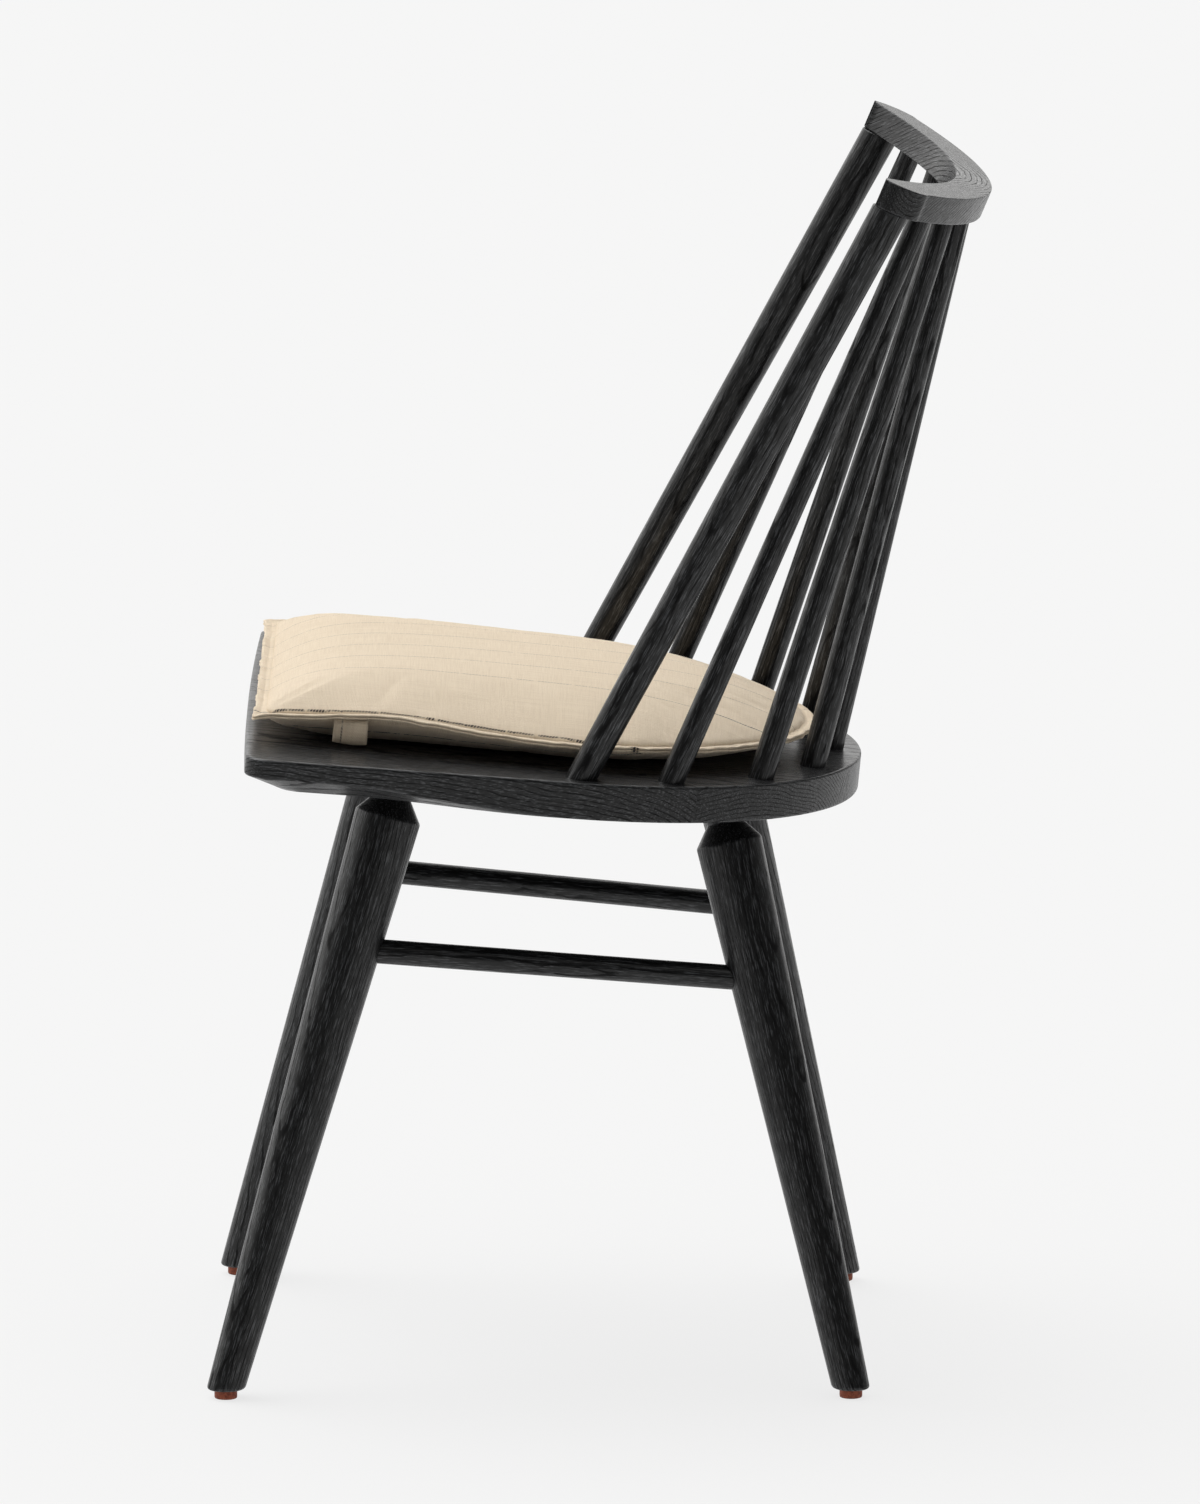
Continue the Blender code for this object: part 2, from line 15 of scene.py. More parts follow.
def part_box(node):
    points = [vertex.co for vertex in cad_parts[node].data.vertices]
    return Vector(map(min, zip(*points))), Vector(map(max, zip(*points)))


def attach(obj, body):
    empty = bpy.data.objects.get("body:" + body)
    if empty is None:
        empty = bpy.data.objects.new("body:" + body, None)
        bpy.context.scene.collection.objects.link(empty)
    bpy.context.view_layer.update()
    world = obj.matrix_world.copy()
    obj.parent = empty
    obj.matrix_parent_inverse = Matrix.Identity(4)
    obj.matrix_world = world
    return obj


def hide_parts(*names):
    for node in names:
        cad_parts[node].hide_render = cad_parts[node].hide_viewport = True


bl_info = {
    "name": "Stick-Back Side Chair",
    "version": (1, 0, 0),
    "blender": (4, 5, 0),
    "location": "3D View > Sidebar > Chair",
    "description": "Builds the finished pieces of a stick-back chair around its packed frame",
    "category": "Object",
}

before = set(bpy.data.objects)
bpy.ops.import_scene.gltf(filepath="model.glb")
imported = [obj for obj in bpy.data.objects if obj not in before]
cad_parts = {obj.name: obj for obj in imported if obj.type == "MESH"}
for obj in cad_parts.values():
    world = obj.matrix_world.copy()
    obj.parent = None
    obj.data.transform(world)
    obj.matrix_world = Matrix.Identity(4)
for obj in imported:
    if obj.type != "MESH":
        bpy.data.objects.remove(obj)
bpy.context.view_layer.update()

BODY = "root"
LEG_NAMES = [f"{row}_{hand}" for row in ("front", "rear") for hand in ("left", "right")]
GOLDEN_TURN = math.radians(137.5)   # between the boards that neighbouring pieces are cut from
SHARP_ANGLE = math.radians(38)
MERGE = 1e-6
TINY = 1e-9                         # keeps a division by a length from failing
END_FACE = 0.0004                   # points this close to a node's end are on its end face
END_REACH = 0.002                   # and this close while its centre line is still a guess
CORNER_SHARE = 0.38                 # most of a side that the easing of one corner may take
HIGHLIGHT_REACH = 0.0012                 # radius of an edge that takes the full painted highlight
FOOT_REACH = 0.010                  # a leg's lowest points, whose radius is the foot's
WIDEST = 0.97                       # share of the largest radius that still counts as the shoulder
TENON_BAND = (0.9, 1.1)             # and of the tenon's radius that counts as the tenon
SHOULDERED = 1.3                    # a stick this many times thicker than its tenon has a shoulder
SCRIBED = (-0.002, 0.001)           # rows this close to the shoulder are cut to the crest's slope
UP = np.array((0.0, 0.0, 1.0))

SEAT_BACK_RADIUS = 0.2300
SEAT_BACK_CENTRE = -0.045
SEAT_FRONT = -0.2465
FLAT_MARGIN = 0.020                 # width of the flat ring inside the seat's edge
SEAT_FRONT_POINTS, SEAT_CORNER_POINTS, SEAT_SIDE_POINTS, SEAT_BACK_POINTS = 60, 22, 40, 150
SEAT_CORNER_INSET = 1.1             # corner radii from where side and front would meet
MIDDLE_BOARD_RINGS, OUTER_BOARD_RINGS = 60, 260
CREST_OUTER_APEX = 0.0852
CREST_COLUMNS = 90
CREST_TIP_ROWS = 5
CREST_RADIAL = (0.0, 0.66, 0.75)    # away from the pith, in the rail's frame
CREST_PITH = 0.120
CREST_BOW = 3.0                     # the rings in the crest's board rise by this times x squared
GLIDE_EASING = 0.0006
GLIDE_SIDES = 64

CUSHION_MIDDLE = -0.045
CUSHION_CORNER = 0.012              # corner radius at the seam
EDGE_CORNER = 0.004                 # and at the outer end of the folded edge
HUMP_PLACE = -0.150
HUMP_LENGTH = 0.060
HUMP_SIDES = (0.12, 0.175)          # distance from the middle at which the humps set in and are full
LOWER_PANEL_SHIFT = 0.012           # the lower panel's stripes don't meet the upper ones
CUSHION_FRONT_POINTS, CUSHION_CORNER_POINTS = 44, 12
CUSHION_SIDE_POINTS, CUSHION_BACK_POINTS = 48, 90
PAD_RINGS = 40                      # from the middle of a panel to the seam
CLOTH_STRETCH = 0.045               # how much longer than its plan the cloth is at the seam
EDGE_STRETCH = 1.0475               # the same for the folded edge, as a factor
EDGE_PROFILE = ((0.0100, 0.0004), (0.0080, 0.0017), (0.0062, 0.0013), (0.0052, 0.0009),
                (0.0042, 0.0013))   # inset and height of the panel, in to out, with the stitched dip
EDGE_TWILL = 0.35                   # how much of the lower panel's twill and painted shade shows below the edge
SEWN_REACH = 0.0045                 # points of the pad this close to the seam are held by it
EAR_REACH = 0.012                   # size of the pulled-out corners of the folded edge
EAR_LENGTH = 0.0032
EAR_DROP = 0.0012
STRAP_ROWS, STRAP_SIDES = 34, 56
STRAP_INSET = 0.0050                # from the cushion's widest place to the strap's middle
STRAP_HALF = 0.0021                 # half of the strap's thickness
STRAP_BELLY = 0.0016                # how far its middle stands out
STRAP_END = 0.22                    # share of the thickness that its ends keep
CLOTH_FRAMES = 20
CLOTH = {
    "quality": 6, "mass": 0.25, "tension_stiffness": 12.0, "compression_stiffness": 12.0,
    "bending_stiffness": 0.35, "use_pressure": True, "uniform_pressure_force": 4.0,
    "vertex_group_mass": "sewn",
}

# Stripes, by their place in the flat cloth: each pair is where something sets in and is full
BARE_BAND_START, BARE_BAND_END = (0.120, 0.124), (0.160, 0.164)
BOLD_BAND_START = (0.164, 0.168)
REAR_BOLD_ACROSS, REAR_BOLD_ALONG = (0.075, 0.080), (0.062, 0.085)
STRIPE_HALF, STRIPE_BOLDER = 0.00042, 0.00040
STRIPE_WAVER = 0.0012
PLY_TURN = 0.0022                   # length of one turn of the striped yarn's two plies

SUN_PLACE = (-0.35, -0.55, 1.0)     # direction that the soft main light comes from
SUN_SPREAD = math.radians(50)
SUN_STRENGTH = 1.25
FLOOR_RADII = (0.0, 2.0, 8.0, 30.0, 80.0)
FLOOR_SIDES = 64
VIEW_DEPTH = 200.0


# Measuring the frame --------------------------------------------------------------------------

def mesh_points(mesh):
    """A mesh's points, as rows of x, y, z."""
    flat = np.empty(len(mesh.vertices) * 3, np.float32)
    mesh.vertices.foreach_get("co", flat)
    return flat.reshape(-1, 3).astype(float)


def move_points(mesh, points):
    mesh.vertices.foreach_set("co", points.astype(np.float32).ravel())
    mesh.update()


def node_points(node):
    """The different corners of a frame node, as rows of x, y, z."""
    return np.unique(np.round(mesh_points(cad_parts[node].data), 6), axis=0)


def flat_normal(node):
    """Unit normal of a node's upward flats: the area-weighted sum of the faces that point up."""
    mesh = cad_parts[node].data
    normals = np.array([face.normal for face in mesh.polygons])
    areas = np.array([face.area for face in mesh.polygons])
    biggest = normals[np.argmax(areas * (normals[:, 2] > 0.8))]
    same = normals @ biggest > 0.9999
    total = (normals[same] * areas[same, None]).sum(0)
    total[0] = 0.0
    return unit(total)


def centre_line(node, foot=None):
    """Lower and upper end of a long round node's centre line.

    The first guess is the direction in which the points spread most. The line is then drawn
    again and again through the middles of the two end faces, or from the foot where it is known.
    """
    points = node_points(node)
    middle = points.mean(0)
    direction = np.linalg.svd(points - middle)[2][0]
    direction = direction * (1.0 if direction[2] > 0.0 else -1.0)
    for _ in range(4):
        along = (points - middle) @ direction
        high = points[along > along.max() - END_REACH].mean(0)
        low = points[along < along.min() + END_REACH].mean(0) if foot is None else foot
        direction = unit(high - low)
    return low, high


def round_the_line(node, low, high):
    """Distance along a line, and away from it, of every point of a node."""
    axis = unit(high - low)
    offset = node_points(node) - low
    along = offset @ axis
    away = np.linalg.norm(offset - along[:, None] * axis, axis=1)
    return along, away


def sloping_frame(normal, origin):
    """Matrix whose local Z is the normal and whose local X is the chair's X."""
    across = np.array((1.0, 0.0, 0.0))
    place = np.eye(4)
    place[:3, 0] = across
    place[:3, 1] = np.cross(normal, across)
    place[:3, 2] = normal
    place[:3, 3] = origin
    return place


def into(place, points):
    """Points of a local frame as points of the chair."""
    return points @ place[:3, :3].T + place[:3, 3]


def out_of(place, points):
    """Points of the chair as points of a local frame."""
    return (points - place[:3, 3]) @ place[:3, :3]


def seat_place():
    """The seat's frame: Z is square to the top face, and the origin is on it and in the middle.

    Its Y is such that the roundest part of the back edge ends where the frame's boards do.
    """
    normal = flat_normal("seat_board_centre")
    points = node_points("seat_board_centre")
    place = sloping_frame(normal, np.zeros(3))
    local = out_of(place, points)
    shift = local[:, 1].max() - (SEAT_BACK_CENTRE + SEAT_BACK_RADIUS)
    place[:3, 3] = into(place, np.array((0.0, shift, local[:, 2].max())))
    return place


def crest_place():
    """The crest rail's frame: Z is square to its top face and zero at its underside."""
    place = sloping_frame(flat_normal("crest_rail"), np.zeros(3))
    local = out_of(place, node_points("crest_rail"))
    shift = local[:, 1].max() - CREST_OUTER_APEX
    place[:3, 3] = into(place, np.array((0.0, shift, local[:, 2].min())))
    return place


# Sizes and looks that a user would change ------------------------------------------------------

def length(name, description, default):
    return bpy.props.FloatProperty(name=name, description=description, default=default, unit="LENGTH")


def angle(name, description, default):
    return bpy.props.FloatProperty(name=name, description=description, default=default, subtype="ANGLE")


def number(name, description, default):
    return bpy.props.FloatProperty(name=name, description=description, default=default)


def colour(name, description, default):
    return bpy.props.FloatVectorProperty(
        name=name, description=description, default=default, subtype="COLOR", size=3)


class SeatSizes(bpy.types.PropertyGroup):
    """Sizes of the plank seat."""

    flare: angle("Flare", "How far the sides open towards the front", math.radians(7.4))
    bow: length("Front bow", "Rise of the front edge's curve", 0.003)
    corner: length("Corner radius", "Radius of the two front corners", 0.016)
    edge: length("Top easing", "Easing of the top edge", 0.0020)
    lower_edge: length("Lower easing", "Easing of the lower edge", 0.0014)
    undercut_rise: length("Bevel rise", "Height of the wide bevel under the front of the rim", 0.0115)
    undercut_inset: length("Bevel reach", "Reach of that bevel in under the seat", 0.0265)
    undercut_start: length("Bevel start", "Place along the seat where the bevel fades out", -0.030)
    undercut_full: length("Bevel full", "Place along the seat where the bevel is at its widest", -0.190)


class StickSizes(bpy.types.PropertyGroup):
    """Sizes of the turned pieces that the frame doesn't settle."""

    foot_easing: length("Foot easing", "Rounding round the end of a leg", 0.0026)
    shoulder_easing: length("Shoulder easing", "Rounding between a leg and its cone", 0.0012)
    arris: length("Arris", "Easing of the small edges", 0.0006)
    sides: bpy.props.IntProperty(
        name="Sides", description="Faces round a turned piece", default=80, min=12)


class CrestSizes(bpy.types.PropertyGroup):
    """Sizes of the crescent crest rail, in its own frame."""

    inner_apex: length("Inner apex", "Where the inner arc crosses the middle", 0.0580)
    inner_tip_x: length("Inner tip across", "The inner arc's end, across the chair", 0.1843)
    inner_tip_y: length("Inner tip along", "The inner arc's end, along the rail's slope", 0.0020)
    outer_radius: length("Outer radius", "Radius of the outer arc", 0.3560)
    corner_radius: length("Corner radius", "Radius of the round outer corner of a tip", 0.0195)
    corner_x: length("Corner across", "Middle of that corner, across the chair", 0.1805)
    corner_y: length("Corner along", "Middle of that corner, along the rail's slope", 0.0148)
    outer_tip_x: length("Outer tip across", "Where the corner meets the end face, across", 0.1948)
    outer_tip_y: length("Outer tip along", "Where the corner meets the end face, along", 0.0010)
    easing: length("Easing", "Easing of the rail's edges", 0.0011)


class OakLook(bpy.types.PropertyGroup):
    """Colours and figure of the stained oak."""

    stain: colour("Stain", "Colour of the stained wood", (0.0078, 0.0081, 0.0086))
    pore: colour("Pores", "Colour in the open pores", (0.0022, 0.0022, 0.0024))
    # A painted highlight: the lighter grey that is laid on the eased edges.
    edge_highlight_colour: colour("Worn edge", "Colour where an edge is rubbed", (0.060, 0.062, 0.065))
    ring: length("Ring width", "Distance between growth rings", 0.0028)


class CushionSizes(bpy.types.PropertyGroup):
    """Sizes of the cushion, in the seat's frame."""

    back_radius: length("Back radius", "Radius of the round back", 0.1860)
    back_centre: length("Back centre", "Where the round back is struck from", -0.036)
    front: length("Front", "Place of the front seam", -0.2435)
    seam_height: length("Seam height", "Height of the seam above the seat", 0.0170)
    crown: length("Crown", "Height of the middle above the seat", 0.0450)
    rest: length("Underside", "Height of the flat underside above the seat", 0.0012)
    seam_rise: length("Seam rise", "How far the side seams ride up behind the front corners", 0.0070)
    flange: length("Flange", "Width of the stitched edge", 0.0060)
    ply: length("Ply", "Thickness of one folded layer of the edge", 0.0019)
    cap: length("Swell limit", "How far a point may move when the cushion fills", 0.0060)
    voxel: length("Cloth grid", "Distance between the cloth's points", 0.0048)


class LinenLook(bpy.types.PropertyGroup):
    """Colours and weave of the linen."""

    flax: colour("Flax", "Colour of the cloth", (0.81, 0.685, 0.52))
    shade: colour("Shade", "Colour of the darker threads", (0.60, 0.47, 0.33))
    ink: colour("Stripe", "Colour of the stripe's yarn", (0.030, 0.022, 0.020))
    thread: length("Thread", "Distance between two threads", 0.00075)
    stripe_gap: length("Stripe spacing", "Distance between two stripes", 0.0445)
    stripe_shift: length("Stripe shift", "Place of one of the stripes", 0.0068)


class StageLook(bpy.types.PropertyGroup):
    """The camera, the floor and the light."""

    floor: colour("Floor", "Colour of the floor", (0.12, 0.12, 0.12))
    glow: number("Glow", "Light that comes through the floor from below", 0.76)
    distance: length("Distance", "From the camera to what it looks at", 10.307)
    pitch: angle("Pitch", "How far the camera looks down", 0.185)
    roll: angle("Roll", "How far the camera is tilted", 0.005)
    yaw: angle("Yaw", "How far the camera stands off the chair's side", -0.002)
    target_y: length("Target along", "Where the camera looks, along the chair", -0.0003)
    target_z: length("Target height", "Where the camera looks, above the floor", 0.423)
    lens: number("Lens", "Focal length in millimetres", 349.1)


# Building meshes ------------------------------------------------------------------------------

def unit(vectors):
    """Vectors scaled to a length of one."""
    return vectors / np.linalg.norm(vectors, axis=-1, keepdims=True)


def eased(value, low, high):
    """0 below low, 1 above high, and 3t^2 - 2t^3 between them."""
    share = np.clip((value - low) / (high - low), 0.0, 1.0)
    return share * share * (3.0 - 2.0 * share)


def grid_faces(rows, columns, closed):
    """Quads of a grid whose points run row by row; closed joins the last column to the first."""
    wide = columns if closed else columns - 1
    row, column = np.meshgrid(np.arange(rows - 1), np.arange(wide), indexing="ij")
    following = (column + 1) % columns
    corners = (row * columns + column, row * columns + following,
               (row + 1) * columns + following, (row + 1) * columns + column)
    return np.stack(corners, -1).reshape(-1, 4)


def rounded(corners, eases, steps=5):
    """Rows of a section with its corners eased.

    An eased corner is the quadratic Bezier curve between the points at the ease's distance from
    the corner on the sides before and after it, with the corner as its handle. One more row on
    each side, a quarter of the ease further out, keeps the flats flat. The first and the last
    corner stay. corners is an array (corner, ..., 2).
    """
    corners = np.asarray(corners, float)
    rows = [corners[0]]
    for before, corner, after, ease in zip(corners, corners[1:], corners[2:], eases):
        back = before - corner
        ahead = after - corner
        back = back * np.minimum(ease / np.linalg.norm(back, axis=-1, keepdims=True), CORNER_SHARE)
        ahead = ahead * np.minimum(ease / np.linalg.norm(ahead, axis=-1, keepdims=True), CORNER_SHARE)
        rows.append(corner + 1.25 * back)
        for share in np.linspace(0.0, 1.0, steps):
            rows.append(corner + back * (1.0 - share) ** 2 + ahead * share ** 2)
        rows.append(corner + 1.25 * ahead)
    rows.append(corners[-1])
    return np.stack(rows)


def new_mesh(name, points, faces, attributes):
    """A closed mesh from arrays, with doubles merged and every face pointing outwards."""
    mesh = bpy.data.meshes.new(name)
    mesh.from_pydata(points.reshape(-1, 3).tolist(), [], faces.tolist())
    for label, values in attributes.items():
        kind = "FLOAT_VECTOR" if values.shape[-1] == 3 else "FLOAT"
        field = "vector" if kind == "FLOAT_VECTOR" else "value"
        layer = mesh.attributes.new(label, kind, "POINT")
        layer.data.foreach_set(field, np.ascontiguousarray(values, np.float32).ravel())
    bm = bmesh.new()
    bm.from_mesh(mesh)
    bmesh.ops.remove_doubles(bm, verts=bm.verts, dist=MERGE)
    bmesh.ops.dissolve_degenerate(bm, edges=bm.edges, dist=MERGE)
    bmesh.ops.recalc_face_normals(bm, faces=bm.faces)
    bm.to_mesh(mesh)
    bm.free()
    mesh.shade_smooth()
    mesh.set_sharp_from_angle(angle=SHARP_ANGLE)
    return mesh


def new_piece(name, mesh, finish, stands_for):
    """An object at the origin that rides on the chair and takes the place of frame nodes."""
    piece = bpy.data.objects.new(name, mesh)
    bpy.context.scene.collection.objects.link(piece)
    mesh.materials.append(finish)
    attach(piece, BODY)
    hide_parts(*stands_for)
    return piece


def grain(points, along, radial, pith, start):
    """Where points lie in the board that a piece is cut from.

    The last coordinate runs with the grain, and the first two are measured from the pith of the
    tree, which lies at the distance pith against the radial direction.
    """
    along = unit(np.asarray(along, float))
    beside = unit(np.cross(along, radial))
    outwards = np.cross(beside, along)
    flat = points.reshape(-1, 3)
    flat = flat - flat.mean(0)
    return np.stack((flat @ outwards + pith, flat @ beside, flat @ along + start), -1)


def wood_attributes(points, edge, along, radial, pith, start):
    """The attributes that the oak's finish reads: place in the board, and share of painted edge highlight.
    """
    edge_highlight = np.broadcast_to(edge, points.shape[:-1]).reshape(-1, 1)
    return {"grain": grain(points, along, radial, pith, start), "edge_highlight": edge_highlight}


def turned(low, high, profile, sides, slant=None, share=None):
    """Points of a round piece: a circle of radius r round the line, at each (distance, radius) row.

    Where slant is the normal of a plane, a row is slid along the line by its share until it lies
    in that plane's direction.
    """
    axis = unit(high - low)
    across = unit(np.cross(axis, (1.0, 0.0, 0.0)))
    beside = np.cross(axis, across)
    angle = np.linspace(0.0, math.tau, sides, endpoint=False)
    ring = np.outer(np.cos(angle), across) + np.outer(np.sin(angle), beside)
    distance, radius = profile[:, 0, None, None], profile[:, 1, None, None]
    points = low + distance * axis + radius * ring
    if slant is not None:
        lean = (ring @ slant) / (axis @ slant)
        points = points - share[:, None, None] * radius * lean[None, :, None] * axis
    return points


def corner_highlight(profile):
    """1 in the middle of each eased corner of a section, 0 on its flats, from how fast it turns: the mask of
    the oak's painted edge highlight.
    """
    step = np.diff(profile, axis=0)
    length = np.maximum(np.linalg.norm(step, axis=-1), TINY)
    turn = np.abs(np.diff(np.unwrap(np.arctan2(step[..., 1], step[..., 0]), axis=0), axis=0))
    near = length[:-1] + length[1:]
    edge_highlight = np.clip(turn / near * HIGHLIGHT_REACH, 0.0, 1.0)
    ends = np.zeros_like(edge_highlight[:1])
    return np.concatenate((ends, edge_highlight, ends))


def turned_piece(name, low, high, profile, finish, sizes, order, slant=None, share=None):
    """A turned piece of oak, cut from a board that is turned by its order among the others."""
    points = turned(low, high, profile, sizes.sides, slant, share)
    axis = unit(high - low)
    turn = GOLDEN_TURN * order
    radial = np.array((math.cos(turn), math.sin(turn), 0.0))
    pith = 0.045 + 0.018 * (order % 4)
    attributes = wood_attributes(points, corner_highlight(profile)[:, None], axis, radial, pith, 0.83 * order)
    mesh = new_mesh(name, points, grid_faces(len(profile), sizes.sides, True), attributes)
    return new_piece(f"{name}_turned", mesh, finish, [name])


# Finishes -------------------------------------------------------------------------------------

class Value:
    """A socket of a finish, on which Python's operators add Math nodes."""

    def __init__(self, finish, socket):
        self.finish = finish
        self.socket = socket

    def maths(self, operation, *others):
        inputs = dict(enumerate((self, *others)))
        return self.finish.node("ShaderNodeMath", {"operation": operation}, inputs)

    def reflected(self, operation, other):
        return self.finish.node("ShaderNodeMath", {"operation": operation}, {0: other, 1: self})

    def __add__(self, other):
        return self.maths("ADD", other)

    def __sub__(self, other):
        return self.maths("SUBTRACT", other)

    def __mul__(self, other):
        return self.maths("MULTIPLY", other)

    def __truediv__(self, other):
        return self.maths("DIVIDE", other)

    def __pow__(self, other):
        return self.maths("POWER", other)

    def __rsub__(self, other):
        return self.reflected("SUBTRACT", other)

    def __rtruediv__(self, other):
        return self.reflected("DIVIDE", other)

    __radd__ = __add__
    __rmul__ = __mul__


class Nodes:
    """A node tree in the making."""

    def __init__(self, owner, shader):
        owner.use_nodes = True
        self.tree = owner.node_tree
        self.shader = self.tree.nodes[shader]

    def node(self, kind, settings=None, inputs=None, output=0):
        """Adds one node: its settings first, then the values or links of its sockets."""
        made = self.tree.nodes.new(kind)
        for setting, value in (settings or {}).items():
            setattr(made, setting, value)
        for socket, value in (inputs or {}).items():
            if isinstance(value, Value):
                self.tree.links.new(value.socket, made.inputs[socket])
            else:
                made.inputs[socket].default_value = value
        return Value(self, made.outputs[output])

    def feed(self, **values):
        """Links values to the shader's sockets, which are named with _ for each space."""
        for socket, value in values.items():
            self.tree.links.new(value.socket, self.shader.inputs[socket.replace("_", " ")])

    def attribute(self, name, output="Vector"):
        return self.node("ShaderNodeAttribute", {"attribute_name": name}, output=output)

    def place(self):
        return self.node("ShaderNodeTexCoord", output="Object")

    def split(self, vector):
        parts = self.node("ShaderNodeSeparateXYZ", inputs={0: vector})
        return [Value(self, socket) for socket in parts.socket.node.outputs]

    def scaled(self, vector, factors):
        return self.node("ShaderNodeVectorMath", {"operation": "MULTIPLY"}, {0: vector, 1: factors})

    def noise(self, vector, factors, detail=2.0, roughness=0.5):
        inputs = {"Vector": self.scaled(vector, factors), "Scale": 1.0, "Detail": detail,
                  "Roughness": roughness}
        return self.node("ShaderNodeTexNoise", {}, inputs)

    def cells(self, vector, factors):
        inputs = {"Vector": self.scaled(vector, factors), "Scale": 1.0}
        return self.node("ShaderNodeTexVoronoi", {}, inputs, "Distance")

    def ramp(self, value, low, high, from_value=0.0, to_value=1.0):
        """Smooth step between two levels of a value."""
        inputs = {"Value": value, "From Min": low, "From Max": high, "To Min": from_value,
                  "To Max": to_value}
        return self.node("ShaderNodeMapRange", {"interpolation_type": "SMOOTHSTEP"}, inputs)

    def mix(self, share, first, second):
        """Colour between two colours."""
        first, second = ((*c, 1.0) if isinstance(c, tuple) else c for c in (first, second))
        settings = {"data_type": "RGBA", "clamp_factor": True}
        return self.node("ShaderNodeMix", settings, {0: share, 6: first, 7: second}, 2)

    def bump(self, height, distance, strength=1.0):
        inputs = {"Height": height, "Distance": distance, "Strength": strength}
        return self.node("ShaderNodeBump", {}, inputs)


class Finish(Nodes):
    """A material in the making: a Principled shader with its fixed values, and what feeds it."""

    def __init__(self, name, constants):
        self.material = bpy.data.materials.new(name)
        super().__init__(self.material, "Principled BSDF")
        for socket, value in constants.items():
            self.shader.inputs[socket].default_value = value


def finish_for(name, make, *looks):
    """The finish of that name, made on first use."""
    found = bpy.data.materials.get(name)
    return found if found is not None else make(name, *looks)


def make_oak(name, look):
    """Open-grained oak, stained black under a thin satin lacquer.

    The growth rings are circles round the pith, pushed about by a slow noise. The wood laid down
    first in each ring is full of long pores, which the lacquer doesn't fill. Brushing has left
    the fibres between them as fine ridges, on which the lacquer shines; that shine is also painted
    into the colour as lighter streaks, a painted sheen. The eased edges get a painted highlight.
    """
    oak = Finish(name, {"Specular IOR Level": 0.10, "Coat Roughness": 0.25, "Coat IOR": 1.45})
    place = oak.attribute("grain")
    across, beside, _ = oak.split(place)
    drift = oak.noise(place, (14.0, 14.0, 5.0), 2.0)
    ripple = oak.noise(place, (110.0, 110.0, 42.0), 3.0)
    radius = (across * across + beside * beside) ** 0.5
    ring = (radius + drift * 0.020 + ripple * 0.0026) / look.ring
    phase = ring.maths("FRACT")
    early = oak.ramp(phase, 0.0, 0.07) * (1.0 - oak.ramp(phase, 0.12, 0.34))
    fading = oak.ramp(oak.noise(place, (190.0, 190.0, 60.0), 2.0), 0.36, 0.60)
    long_cells = oak.cells(place, (1000.0, 1000.0, 90.0))
    patch = oak.noise(place, (300.0, 300.0, 30.0), 2.0)
    pores = (1.0 - oak.ramp(long_cells, 0.24, 0.46)) * oak.ramp(early * 0.9 + patch * 0.50, 0.50, 0.76)
    ridge = oak.noise(place, (1050.0, 1050.0, 64.0), 3.0, 0.62)
    fibre = oak.noise(place, (2000.0, 2000.0, 110.0), 2.0, 0.6)
    open_grain = (early * (0.25 + fading * 0.70)).maths("MAXIMUM", pores)
    ridge_sheen = oak.ramp(ridge * 0.55 + fibre * 0.45, 0.50, 0.62) * (1.0 - open_grain)
    # Painted edge highlight: the eased edges are lightened to a grey, in noisy patches.
    edge_highlight = oak.attribute("edge_highlight", "Fac") * oak.ramp(oak.noise(place, (160.0, 160.0, 60.0), 3.0), 0.36, 0.60)
    # Painted sheen: the ridges get a lighter colour, seven and a half times the stain, for the shine they
    # catch.
    dark, light = (tuple(share * c for c in look.stain) for share in (0.30, 7.5))
    stain_and_sheen = oak.mix(ridge_sheen * 0.85, dark, light)
    highlighted = oak.mix(edge_highlight * 0.85, stain_and_sheen, tuple(look.edge_highlight_colour))
    height = ridge * 0.55 + fibre * 0.25 - open_grain * 0.9
    oak.feed(
        Base_Color=oak.mix(open_grain * 0.9, highlighted, tuple(look.pore)),
        Roughness=0.52 + open_grain * 0.30,
        Coat_Weight=(0.62 + ridge_sheen * 0.38) * (1.0 - open_grain * 0.85),
        Normal=oak.bump(height, 0.00034, 1.0),
    )
    return oak.material


